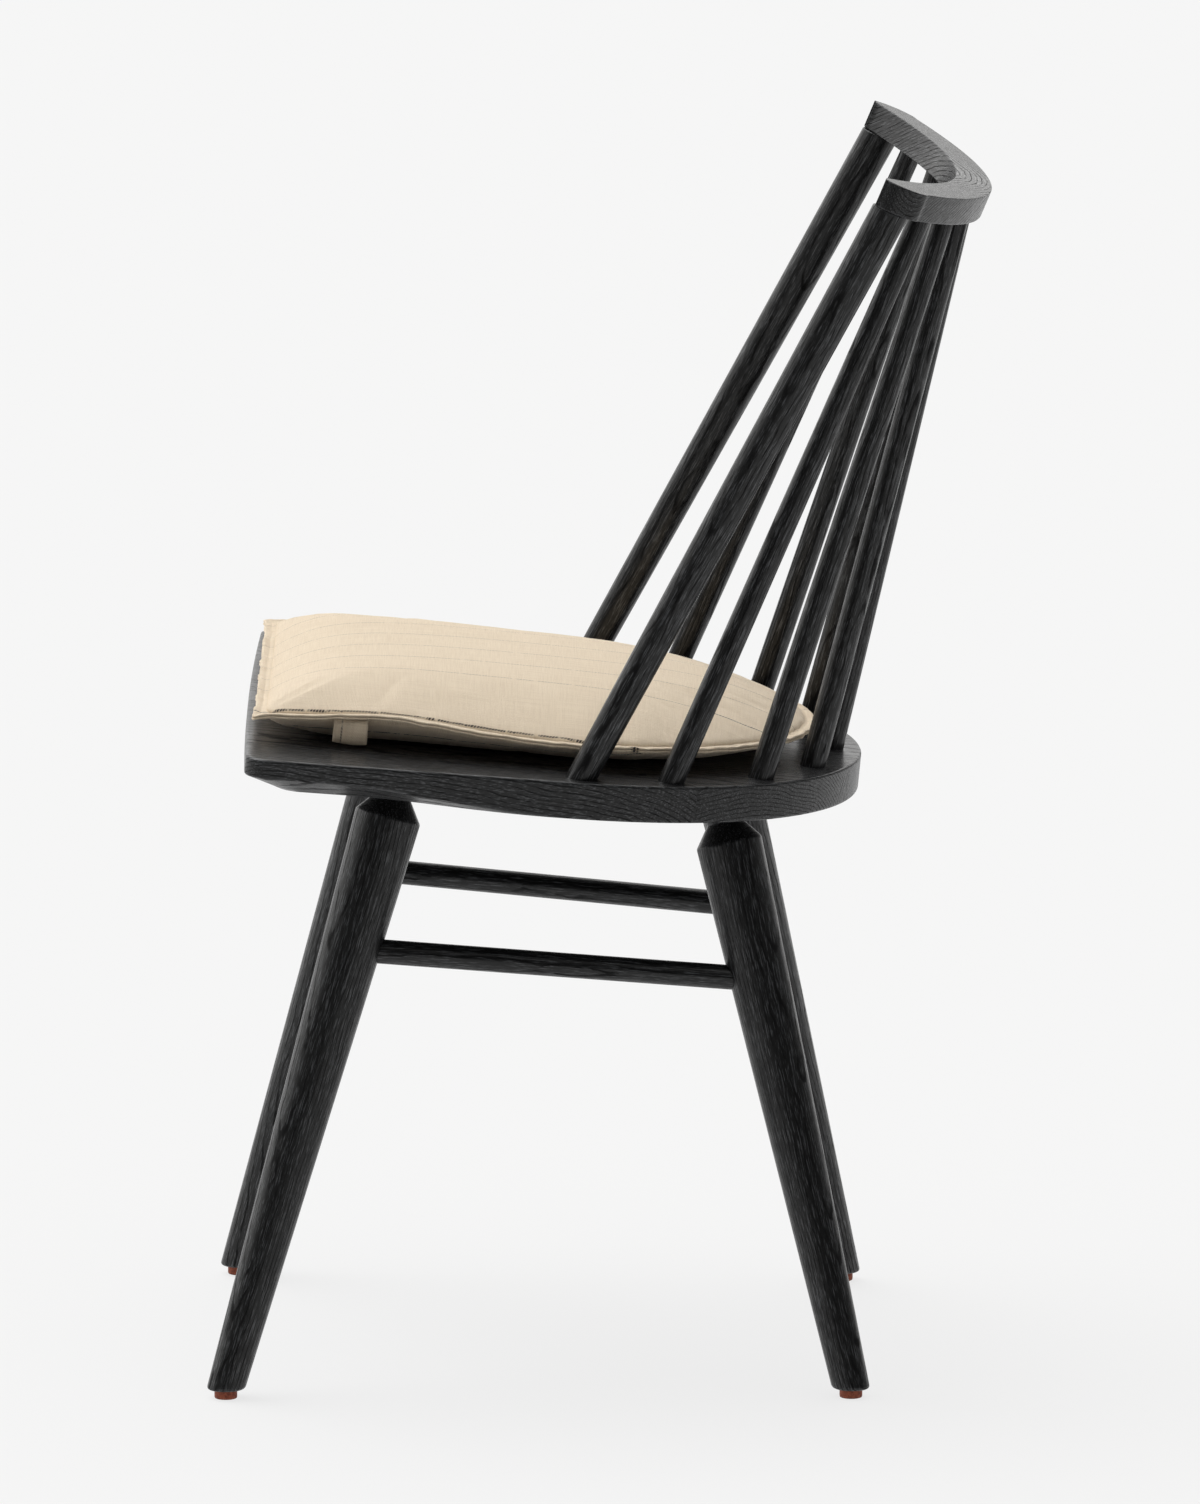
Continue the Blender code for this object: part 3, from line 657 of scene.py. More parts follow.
def make_linen(name, look):
    """Slubby linen with dark stripes, in plain weave above and in twill below.

    The stripes are thin and broken over the middle, left out in a bare band on the right, and
    bold beyond it, on the lower panel and at the rear.

    The cloth attribute gives the place in the flat cloth, across and along the chair, and 1 on the
    lower panel, which is also drawn a little darker as painted shade.
    """
    linen = Finish(name, {"Roughness": 0.88, "Specular IOR Level": 0.12, "Sheen Weight": 0.22,
                          "Sheen Roughness": 0.55})
    place = linen.attribute("cloth")
    across, along, under = linen.split(place)
    pitch = math.tau / look.thread
    warp = (across * pitch).maths("SINE")
    weft = (along * pitch).maths("SINE")
    plain = warp * weft
    twill = ((across + along) * (pitch * 0.42)).maths("SINE")
    weave = plain * (1.0 - under) + twill * under
    warp_slub = linen.noise(place, (1250.0, 26.0, 1.0), 2.0)
    weft_slub = linen.noise(place, (30.0, 1250.0, 1.0), 2.0)
    nap = linen.noise(place, (700.0, 700.0, 1.0), 3.0, 0.65)
    blotch = linen.noise(place, (34.0, 22.0, 1.0), 3.0)
    thread = warp_slub * 0.5 + weft_slub * 0.5
    shade = linen.ramp(1.0 - thread, 0.36, 0.66) * 0.42 + weave * 0.10 + linen.ramp(nap, 0.52, 0.80) * 0.30
    # Painted shade: the lower panel (under) is mixed further towards the darker threads.
    ground = linen.mix(shade + under * 0.22 + (blotch - 0.5) * 0.25, tuple(look.flax), tuple(look.shade))
    beat = ((across - look.stripe_shift) / look.stripe_gap + 0.5).maths("FRACT") - 0.5
    waver = (linen.noise(place, (60.0, 85.0, 1.0), 2.0) - 0.5) * STRIPE_WAVER
    off = (beat * look.stripe_gap + waver).maths("ABSOLUTE")
    left_out = linen.ramp(across, *BARE_BAND_START) * (1.0 - linen.ramp(across, *BARE_BAND_END))
    outer = linen.ramp(across, *BOLD_BAND_START)
    rear = linen.ramp(across, *REAR_BOLD_ACROSS) * linen.ramp(along, *REAR_BOLD_ALONG)
    slub = linen.ramp(linen.noise(place, (9.0, 11.0, 1.0), 1.0), 0.36, 0.52)
    bold = (outer + under).maths("MINIMUM", 1.0) * slub + rear * (1.0 - outer)
    width = STRIPE_HALF + bold * STRIPE_BOLDER
    ply = ((along + beat * (look.stripe_gap * 0.8)) * (math.tau / PLY_TURN)).maths("SINE")
    gaps = linen.ramp(linen.noise(place, (40.0, 190.0, 1.0), 2.0), 0.30, 0.46)
    twist = linen.ramp(ply, -0.85, 0.05, 0.30, 1.0)
    line = linen.ramp(off / width, 1.3, 0.75) * (gaps * (0.66 + bold * 0.34)) * twist * (1.0 - left_out)
    height = weave * 0.5 + warp_slub * 0.8 + weft_slub * 0.8 + nap * 0.5 - line * 0.2
    linen.feed(
        Base_Color=linen.mix(line, ground, tuple(look.ink)),
        Normal=linen.bump(height, 0.00034, 0.8),
    )
    return linen.material


def make_pad_rubber(name):
    """Rust-brown rubber, darker towards the bottom, where it meets the floor."""
    rubber = Finish(name, {"Specular IOR Level": 0.3})
    place = rubber.place()
    mottle = rubber.noise(place, (420.0, 420.0, 420.0), 4.0, 0.6)
    grit = rubber.noise(place, (2600.0, 2600.0, 2600.0), 2.0)
    _, _, height = rubber.split(place)
    # Darker towards the bottom of the glide.
    darker_low = rubber.ramp(height + mottle * 0.0016, 0.0022, 0.0004)
    body = rubber.mix(rubber.ramp(mottle, 0.35, 0.65), (0.165, 0.036, 0.016), (0.30, 0.075, 0.034))
    rubber.feed(
        Base_Color=rubber.mix(darker_low * 0.75, body, (0.045, 0.022, 0.016)),
        Roughness=0.48 + grit * 0.25,
        Normal=rubber.bump(grit + mottle, 0.00012, 0.6),
    )
    return rubber.material


def make_screw_steel(name):
    """Bright zinc-plated steel with turning marks round the screw's own axis."""
    steel = Finish(name, {"Metallic": 1.0})
    place = steel.place()
    grime = steel.noise(place, (900.0, 900.0, 900.0), 3.0)
    marks = steel.noise(place, (300.0, 300.0, 5200.0), 1.0)
    steel.feed(
        Base_Color=steel.mix(steel.ramp(grime, 0.40, 0.66), (0.62, 0.61, 0.58), (0.33, 0.31, 0.28)),
        Roughness=0.24 + grime * 0.25,
        Normal=steel.bump(marks, 0.00004, 0.5),
    )
    return steel.material


def oak_finish(context):
    return finish_for("satin_black_oak", make_oak, context.scene.chair_oak)


def linen_finish(context):
    return finish_for("striped_linen", make_linen, context.scene.chair_linen)


# Seat -----------------------------------------------------------------------------------------

def arc(centre, radius, start, stop, count):
    """Points of a circular arc from one angle to another."""
    angle = np.linspace(start, stop, count)
    return np.stack((centre[0] + radius * np.cos(angle), centre[1] + radius * np.sin(angle)), -1)


def straight(start, stop, count):
    """Points of a straight line, without its two ends."""
    share = np.linspace(0.0, 1.0, count + 2)[1:-1, None]
    return np.asarray(start) * (1.0 - share) + np.asarray(stop) * share


def seat_outline(sizes):
    """Right half of the seat's outline, from the middle of its front to the middle of its back.

    The back is an arc; straight sides leave it on its tangent, opening by the flare, and round
    corners lead into the front, which is a shallow parabola.
    """
    back = arc((0.0, SEAT_BACK_CENTRE), SEAT_BACK_RADIUS, sizes.flare, math.pi / 2, SEAT_BACK_POINTS)
    reach = back[0, 1] - SEAT_FRONT
    widest = back[0, 0] + reach * math.tan(sizes.flare)
    corner = (widest - sizes.corner * SEAT_CORNER_INSET, SEAT_FRONT + sizes.corner)
    turn = arc(corner, sizes.corner, -math.pi / 2, sizes.flare, SEAT_CORNER_POINTS)
    x = np.linspace(0.0, corner[0], SEAT_FRONT_POINTS)[:-1]
    front = np.stack((x, SEAT_FRONT - sizes.bow * (1.0 - (x / corner[0]) ** 2)), -1)
    return np.concatenate((front, turn, straight(turn[-1], back[0], SEAT_SIDE_POINTS), back))


def seat_rows(outline, sizes, thickness):
    """Rings of the seat's edge from the top face to the underside, and how much painted edge highlight each
    point takes.

    A section has three corners: the top edge, the lower edge of the rim, and the far edge of the
    bevel under it, which is widest in front and has faded out towards the back. A point is drawn
    in by scaling the outline about the middle of the back arc.
    """
    bevel = 1.0 - eased(outline[:, 1], sizes.undercut_full, sizes.undercut_start)
    edge = np.zeros(len(outline))
    top = edge
    bottom = edge - thickness
    low = sizes.undercut_rise * bevel + sizes.lower_edge - thickness
    reach = sizes.undercut_inset * bevel + sizes.lower_edge
    corners = np.stack((
        np.stack((edge + FLAT_MARGIN, top), -1),
        np.stack((edge, top), -1),
        np.stack((edge, low), -1),
        np.stack((reach, bottom), -1),
        np.stack((reach + FLAT_MARGIN, bottom), -1),
    ))
    section = rounded(corners, (sizes.edge, sizes.lower_edge, sizes.lower_edge))
    middle = np.array((0.0, SEAT_BACK_CENTRE))
    scale = 1.0 - section[..., :1] / SEAT_BACK_RADIUS
    flat = middle + (outline - middle) * scale
    return np.concatenate((flat, section[..., 1:]), -1), corner_highlight(section)


def capped(loops):
    """Rings with one more at each end, drawn together to the middle of its neighbour."""
    first = np.broadcast_to(loops[0].mean(0), loops[0].shape)
    last = np.broadcast_to(loops[-1].mean(0), loops[-1].shape)
    return np.concatenate((first[None], loops, last[None]))


def middle_board(rows, edge_highlight, low, high):
    """Rings of a board between two joints: the rear rim downwards, then the front rim upwards.

    Each ring lies at one x, where the rows of both rims are read off by interpolation.
    """
    x = np.linspace(low, high, MIDDLE_BOARD_RINGS)
    widest = int(np.argmax(rows[0, :, 0]))
    values = np.concatenate((rows, edge_highlight[..., None]), -1)
    rims = []
    for part in (values[:, :widest], values[:, :widest:-1]):
        read = [[np.interp(np.abs(x), row[:, 0], row[:, k]) for k in (1, 2, 3)] for row in part]
        rims.append(np.array(read).transpose(2, 0, 1))
    front, rear = rims
    loop = np.concatenate((rear, front[:, ::-1]), 1)
    across = np.broadcast_to(x[:, None, None], loop[..., :1].shape)
    return capped(np.concatenate((across, loop), -1))


def outer_board(rows, edge_highlight, joint, side):
    """Rings of a board outside a joint: the rim downwards, then the joint's face upwards.

    The rings run along the rim from where it leaves the joint in front to where it meets it again
    at the back, by way of the widest place.
    """
    values = np.concatenate((rows, edge_highlight[..., None]), -1)
    count = np.arange(rows.shape[1], dtype=float)
    widest = int(np.argmax(rows[0, :, 0]))
    share = np.linspace(0.0, 1.0, OUTER_BOARD_RINGS)
    rim = []
    for row in values:
        start = np.interp(joint, row[:widest, 0], count[:widest])
        stop = np.interp(joint, row[:widest:-1, 0], count[:widest:-1])
        place = start + (stop - start) * share
        rim.append([np.interp(place, count, row[:, k]) for k in range(4)])
    rim = np.array(rim).transpose(2, 0, 1)
    along = share[:, None, None]
    face = rim[:1, [-1, 0]] * (1.0 - along) + rim[-1:, [-1, 0]] * along
    return capped(np.concatenate((rim, face), 1) * np.array((side, 1.0, 1.0, 1.0)))


class CHAIR_OT_seat(bpy.types.Operator):
    """Make the five glued boards of the seat"""

    bl_idname = "chair.seat"
    bl_label = "Seat Boards"

    def execute(self, context):
        sizes = context.scene.chair_seat
        place = seat_place()
        thickness = -out_of(place, node_points("seat_board_centre"))[:, 2].min()
        rows, edge_highlight = seat_rows(seat_outline(sizes), sizes, thickness)
        names = ("outer_left", "inner_left", "centre", "inner_right", "outer_right")
        for order, part in enumerate(names):
            name = f"seat_board_{part}"
            low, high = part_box(name)
            if "outer" in part:
                side = 1.0 if low.x > 0.0 else -1.0
                loops = outer_board(rows, edge_highlight, min(abs(low.x), abs(high.x)), side)
            else:
                loops = middle_board(rows, edge_highlight, low.x, high.x)
            points = into(place, loops[..., :3])
            tilt = math.radians(62.0 + 17.0 * order)
            radial = np.array((math.cos(tilt), 0.0, math.sin(tilt)))
            attributes = wood_attributes(
                points, loops[..., 3], place[:3, 1], radial, 0.030 + 0.021 * order, 1.7 * order)
            mesh = new_mesh(name, points, grid_faces(*loops.shape[:2], True), attributes)
            new_piece(f"{name}_planed", mesh, oak_finish(context), [name])
        return {"FINISHED"}


# Legs, stretchers and glides ------------------------------------------------------------------

def leg_line(name):
    """Foot and top of a leg's centre line: it stands over its glide and ends in its tenon."""
    low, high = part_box(f"glide_{name}")
    foot_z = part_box(f"leg_{name}")[0].z
    foot = np.array(((low.x + high.x) / 2.0, (low.y + high.y) / 2.0, foot_z))
    return centre_line(f"leg_{name}", foot)


class CHAIR_OT_legs(bpy.types.Operator):
    """Turn the four legs: a foot cut level, a long taper, and a cone under the seat"""

    bl_idname = "chair.legs"
    bl_label = "Legs"

    def execute(self, context):
        sizes = context.scene.chair_sticks
        for order, name in enumerate(LEG_NAMES):
            node = f"leg_{name}"
            foot, top = leg_line(name)
            along, away = round_the_line(node, foot, top)
            length = along.max()
            wide = away.max()
            shoulder = along[away > WIDEST * wide].mean()
            tenon = away[along > length - END_FACE].max()
            narrow = (away > TENON_BAND[0] * tenon) & (away < TENON_BAND[1] * tenon)
            cone_top = along[(along > shoulder) & narrow].min()
            foot_radius = away[along < FOOT_REACH].max()
            corners = ((0.0, 0.0), (0.0, foot_radius), (shoulder, wide), (cone_top, tenon),
                       (length, tenon), (length, 0.0))
            eases = (sizes.foot_easing, sizes.shoulder_easing, sizes.arris, sizes.arris)
            profile = rounded(corners, eases)
            level = np.clip(1.0 - profile[:, 0] / shoulder, 0.0, 1.0)
            turned_piece(node, foot, top, profile, oak_finish(context), sizes, order, UP, level)
        return {"FINISHED"}


class CHAIR_OT_stretchers(bpy.types.Operator):
    """Turn the two plain bars that join each front leg to the leg behind it"""

    bl_idname = "chair.stretchers"
    bl_label = "Side Stretchers"

    def execute(self, context):
        sizes = context.scene.chair_sticks
        for order, hand in enumerate(("left", "right"), 5):
            node = f"side_stretcher_{hand}"
            low, high = centre_line(node)
            along, away = round_the_line(node, low, high)
            corners = ((0.0, 0.0), (0.0, away.max()), (along.max(), away.max()), (along.max(), 0.0))
            profile = rounded(corners, (sizes.arris, sizes.arris))
            turned_piece(node, low, high, profile, oak_finish(context), sizes, order)
        return {"FINISHED"}


class CHAIR_OT_glides(bpy.types.Operator):
    """Turn the four rubber glides, each with a recess for its screw"""

    bl_idname = "chair.glides"
    bl_label = "Glides"

    def execute(self, context):
        finish = finish_for("rust_rubber", make_pad_rubber)
        for name in LEG_NAMES:
            node = f"glide_{name}"
            low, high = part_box(node)
            base = np.array(((low.x + high.x) / 2.0, (low.y + high.y) / 2.0, low.z))
            radius = (high.x - low.x) / 2.0
            height = high.z - low.z
            recess, depth, bore = radius * 0.5, height * 0.45, radius * 0.24
            corners = ((depth, recess), (0.0, recess), (0.0, radius * 0.95), (height * 0.16, radius),
                       (height, radius), (height, bore), (depth, bore), (depth, recess))
            ease = GLIDE_EASING
            profile = rounded(corners, (ease / 3, ease, ease, ease, ease / 3, ease / 3))
            points = turned(base, base + height * UP, profile, GLIDE_SIDES)
            faces = grid_faces(len(profile), GLIDE_SIDES, True)
            mesh = new_mesh(node, points, faces, {})
            new_piece(f"{node}_moulded", mesh, finish, [node])
        return {"FINISHED"}


class CHAIR_OT_screws(bpy.types.Operator):
    """Give the glide screws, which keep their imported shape, their finish"""

    bl_idname = "chair.screws"
    bl_label = "Glide Screws"

    def execute(self, context):
        finish = finish_for("zinc_plated_steel", make_screw_steel)
        for name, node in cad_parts.items():
            if name.startswith("glide_screw_"):
                for slot in node.material_slots:
                    slot.material = finish
        return {"FINISHED"}


# Crest rail and sticks ------------------------------------------------------------------------

def crest_arcs(sizes, count):
    """Inner and outer edge of the rail's right half, from the middle to the tip.

    The inner edge is an arc through the apex and the tip. The outer edge is a wider arc that runs
    into the round corner of the tip.
    """
    sag = sizes.inner_apex - sizes.inner_tip_y
    radius = (sizes.inner_tip_x ** 2 + sag ** 2) / (2.0 * sag)
    inner = arc((0.0, sizes.inner_apex - radius), radius, math.pi / 2,
                math.acos(sizes.inner_tip_x / radius), count)
    centre_y = CREST_OUTER_APEX - sizes.outer_radius
    join = math.atan2(sizes.corner_y - centre_y, sizes.corner_x)
    turn = count // 3
    back = arc((0.0, centre_y), sizes.outer_radius, math.pi / 2, join, count - turn + 1)
    stop = math.atan2(sizes.outer_tip_y - sizes.corner_y, sizes.outer_tip_x - sizes.corner_x)
    corner = arc((sizes.corner_x, sizes.corner_y), sizes.corner_radius, join, stop, turn)
    return inner, np.concatenate((back[:-1], corner))


class CHAIR_OT_crest(bpy.types.Operator):
    """Saw the crescent crest rail: an eased rectangle carried between its inner and outer edge"""

    bl_idname = "chair.crest"
    bl_label = "Crest Rail"

    def execute(self, context):
        sizes = context.scene.chair_crest
        place = crest_place()
        thickness = out_of(place, node_points("crest_rail"))[:, 2].max()
        inner, outer = crest_arcs(sizes, CREST_COLUMNS)
        mirror = np.array((-1.0, 1.0))
        inner = np.concatenate((inner[:0:-1] * mirror, inner))
        outer = np.concatenate((outer[:0:-1] * mirror, outer))
        across = unit(outer - inner)
        width = np.linalg.norm(outer - inner, axis=1)
        tip = np.stack((across[:, 1], -across[:, 0]), -1)
        phase = np.linspace(0.0, math.pi / 2, CREST_TIP_ROWS)
        drawn = sizes.easing * (1.0 - np.concatenate((np.cos(phase[::-1]), np.ones(len(inner) - 2),
                                                      np.cos(phase))))
        pick = np.concatenate((np.zeros(CREST_TIP_ROWS, int), np.arange(1, len(inner) - 1),
                               np.full(CREST_TIP_ROWS, -1)))
        back = sizes.easing * np.concatenate((np.sin(phase[::-1]) - 1.0, np.zeros(len(inner) - 2),
                                              1.0 - np.sin(phase)))
        inner = inner[pick] + tip[pick] * back[:, None] + across[pick] * drawn[:, None]
        reach = width[pick] - 2.0 * drawn
        half = np.zeros(len(pick))
        floor, ceiling = drawn, thickness - drawn
        middle = (floor + ceiling) / 2.0
        corners = np.stack([np.stack(pair, -1) for pair in (
            (half, middle), (half, floor), (reach, floor), (reach, ceiling), (half, ceiling),
            (half, middle))])
        section = rounded(corners, (sizes.easing,) * 4)
        edge_highlight = corner_highlight(section)
        flat = inner + section[..., :1] * across[pick]
        local = np.concatenate((flat, section[..., 1:]), -1).transpose(1, 0, 2)
        loops = capped(np.concatenate((local, edge_highlight.T[..., None]), -1))
        points = into(place, loops[..., :3])
        radial = place[:3, :3] @ np.array(CREST_RADIAL)
        attributes = wood_attributes(points, loops[..., 3], place[:3, 0], radial, CREST_PITH, 2.3)
        attributes["grain"][:, 0] += CREST_BOW * points.reshape(-1, 3)[:, 0] ** 2
        mesh = new_mesh("crest_rail", points, grid_faces(*loops.shape[:2], True), attributes)
        new_piece("crest_rail_sawn", mesh, oak_finish(context), ["crest_rail"])
        return {"FINISHED"}


class CHAIR_OT_sticks(bpy.types.Operator):
    """Turn the two back posts and the seven spindles"""

    bl_idname = "chair.sticks"
    bl_label = "Posts and Spindles"

    def execute(self, context):
        sizes = context.scene.chair_sticks
        under_crest = crest_place()[:3, 2]
        nodes = sorted(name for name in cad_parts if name.startswith(("back_post", "spindle")))
        for order, node in enumerate(nodes, 8):
            low, high = centre_line(node)
            along, away = round_the_line(node, low, high)
            length = along.max()
            seat_radius = away[along < END_FACE].max()
            tenon = away[along > length - END_FACE].max()
            crest_radius = away.max() if away.max() > SHOULDERED * tenon else tenon
            shoulder = along[(away > SHOULDERED * tenon) & (along > length / 2)]
            shoulder = shoulder.mean() if len(shoulder) else length
            corners = ((0.0, 0.0), (0.0, seat_radius), (shoulder, crest_radius), (shoulder, tenon),
                       (length, tenon), (length, 0.0))
            if crest_radius == tenon:
                corners = (*corners[:3], (length, 0.0))
            profile = rounded(corners, (sizes.arris,) * (len(corners) - 2))
            below, above = profile[:, 0] - shoulder > SCRIBED[0], profile[:, 0] - shoulder < SCRIBED[1]
            scribed = (below & above).astype(float)
            slant = under_crest if crest_radius > tenon else None
            turned_piece(node, low, high, profile, oak_finish(context), sizes, order, slant, scribed)
        return {"FINISHED"}


# Cushion --------------------------------------------------------------------------------------

def cushion_outline(sizes, inset, corner):
    """Closed outline of the cushion in the seat's frame, drawn in by inset.

    A half circle at the back, straight sides, and a straight front with small round corners. The
    points correspond from one inset to the next.
    """
    radius = sizes.back_radius - inset
    front = sizes.front + inset
    centre = sizes.back_centre
    edge = np.array((radius - corner, front))
    right = np.concatenate((
        straight((-EDGE_CORNER, front), edge, CUSHION_FRONT_POINTS),
        arc((radius - corner, front + corner), corner, -math.pi / 2, 0.0, CUSHION_CORNER_POINTS),
        straight((radius, front + corner), (radius, centre), CUSHION_SIDE_POINTS),
        arc((0.0, centre), radius, 0.0, math.pi / 2, CUSHION_BACK_POINTS)[:-1],
    ))
    left = right[::-1] * np.array((-1.0, 1.0))
    top = np.array(((0.0, centre + radius),))
    return np.concatenate((right, top, left))


def share_out(points, outline):
    """How far out points lie, from 0 in the middle to 1 on the outline, along a ray."""
    middle = np.array((0.0, CUSHION_MIDDLE))
    edge = outline - middle
    edge_angle = np.arctan2(edge[:, 1], edge[:, 0])
    order = np.argsort(edge_angle)
    offset = points[:, :2] - middle
    angle = np.arctan2(offset[:, 1], offset[:, 0])
    reach = np.interp(angle, edge_angle[order], np.linalg.norm(edge, axis=1)[order], period=math.tau)
    return np.linalg.norm(offset, axis=1) / reach


def seam_level(flat, sizes):
    """Height of the seam: even, but for two soft humps that the side seams make behind the ears."""
    hump = np.exp(-((flat[..., 1] - HUMP_PLACE) / HUMP_LENGTH) ** 2)
    side = eased(np.abs(flat[..., 0]), *HUMP_SIDES)
    return sizes.seam_height + sizes.seam_rise * hump * side


def pad_rings(sizes):
    """Rings of the slack pad, from the middle of its top over the seam to the middle below.

    At a share s of the way out, the top is the seam's height plus the crown times
    (1 - s^4)^0.6, and the underside is as far below the seam as (1 - s^10)^0.6 of its depth.
    """
    outline = cushion_outline(sizes, sizes.flange, CUSHION_CORNER)
    shares = np.sin(np.linspace(0.0, math.pi / 2, PAD_RINGS))
    middle = np.array((0.0, CUSHION_MIDDLE))
    rings = []
    for share in shares:
        flat = middle + (outline - middle) * share
        seam = seam_level(outline, sizes)
        crown = sizes.crown - sizes.cap * 0.45 - seam
        rings.append(np.column_stack((flat, seam + crown * (1.0 - share ** 4) ** 0.6)))
    for share in shares[-2::-1]:
        flat = middle + (outline - middle) * share
        seam = seam_level(outline, sizes)
        drop = (1.0 - share ** 10) ** 0.6
        rings.append(np.column_stack((flat, seam + (sizes.rest - seam) * drop)))
    return np.array(rings)


def fill_out(pad, sizes, place):
    """Blow the pad up as cloth, sewn down along its seam, and keep every point near its start."""
    scene = bpy.context.scene
    remesh = pad.modifiers.new("cloth_grid", "REMESH")
    remesh.mode = "VOXEL"
    remesh.voxel_size = sizes.voxel
    grid = bpy.data.meshes.new_from_object(pad.evaluated_get(bpy.context.evaluated_depsgraph_get()))
    pad.modifiers.clear()
    pad.data = grid
    start = mesh_points(grid)
    seam = cushion_outline(sizes, sizes.flange, CUSHION_CORNER)
    seam = into(place, np.column_stack((seam, seam_level(seam, sizes))))
    gap = np.min([np.linalg.norm(start - point, axis=1) for point in seam], axis=0)
    sewn = pad.vertex_groups.new(name="sewn")
    sewn.add([int(i) for i in np.flatnonzero(gap < SEWN_REACH)], 1.0, "REPLACE")
    cloth = pad.modifiers.new("cloth", "CLOTH")
    for setting, value in CLOTH.items():
        setattr(cloth.settings, setting, value)
    cloth.settings.effector_weights.gravity = 0.0
    cloth.point_cache.frame_start = 1
    cloth.point_cache.frame_end = CLOTH_FRAMES
    for number in range(1, CLOTH_FRAMES + 1):
        scene.frame_set(number)
    end = mesh_points(pad.evaluated_get(bpy.context.evaluated_depsgraph_get()).data)
    pad.modifiers.clear()
    scene.frame_set(1)
    move = end - start
    length = np.maximum(np.linalg.norm(move, axis=1, keepdims=True), TINY)
    move_points(grid, start + move * sizes.cap * np.tanh(length / sizes.cap) / length)


def settle(points, sizes):
    """Points in the seat's frame, pressed flat where they would sink below the underside."""
    return np.maximum(points, (-np.inf, -np.inf, sizes.rest))


def cloth_place(local, sizes):
    """Place in the flat cloth of points in the seat's frame, and 1 on the lower panel.

    The cloth runs down the cushion's shoulders, so it is longer than its plan by a share that
    grows with the sixth power of the way out.
    """
    share = share_out(local, cushion_outline(sizes, sizes.flange, CUSHION_CORNER))
    stretch = 1.0 + CLOTH_STRETCH * np.minimum(share, 1.05) ** 6
    under = (local[:, 2] < seam_level(local[:, :2], sizes)).astype(float)
    offset = np.where(under > 0.5, LOWER_PANEL_SHIFT, 0.0)
    return np.column_stack((local[:, 0] * stretch + offset, local[:, 1] * stretch, under))


def set_cloth_place(mesh, place, sizes):
    """Write the cloth attribute onto a mesh that stands in the chair's frame."""
    values = cloth_place(out_of(place, mesh_points(mesh)), sizes)
    layer = mesh.attributes.new("cloth", "FLOAT_VECTOR", "POINT")
    layer.data.foreach_set("vector", values.astype(np.float32).ravel())


def smooth_out(piece):
    """One round of subdivision, the same in the viewport and in a render."""
    fine = piece.modifiers.new("fine", "SUBSURF")
    fine.levels = 1
    fine.render_levels = 1


class CHAIR_OT_cushion(bpy.types.Operator):
    """Sew the cushion's pad and fill it out by cloth simulation"""

    bl_idname = "chair.cushion"
    bl_label = "Cushion Pad"

    def execute(self, context):
        sizes = context.scene.chair_cushion
        place = seat_place()
        rings = pad_rings(sizes)
        points = into(place, rings)
        mesh = new_mesh("cushion", points, grid_faces(*rings.shape[:2], True), {})
        pad = new_piece("cushion", mesh, linen_finish(context),
                        ["cushion_top_panel", "cushion_bottom_panel", "cushion_filling"])
        fill_out(pad, sizes, place)
        move_points(pad.data, into(place, settle(out_of(place, mesh_points(pad.data)), sizes)))
        if not pad.data.materials:
            pad.data.materials.append(linen_finish(context))
        pad.data.shade_smooth()
        set_cloth_place(pad.data, place, sizes)
        smooth_out(pad)
        return {"FINISHED"}


def wobble(length, total, waves, seed):
    """A closed wave of unit size along a seam: sines of whole numbers of turns, added up."""
    sum_of = np.zeros_like(length)
    for number, wave in enumerate(waves):
        turns = round(total / wave)
        sum_of += np.sin(math.tau * turns * length / total + seed * (number + 1.7) * 2.4)
    return sum_of / len(waves)


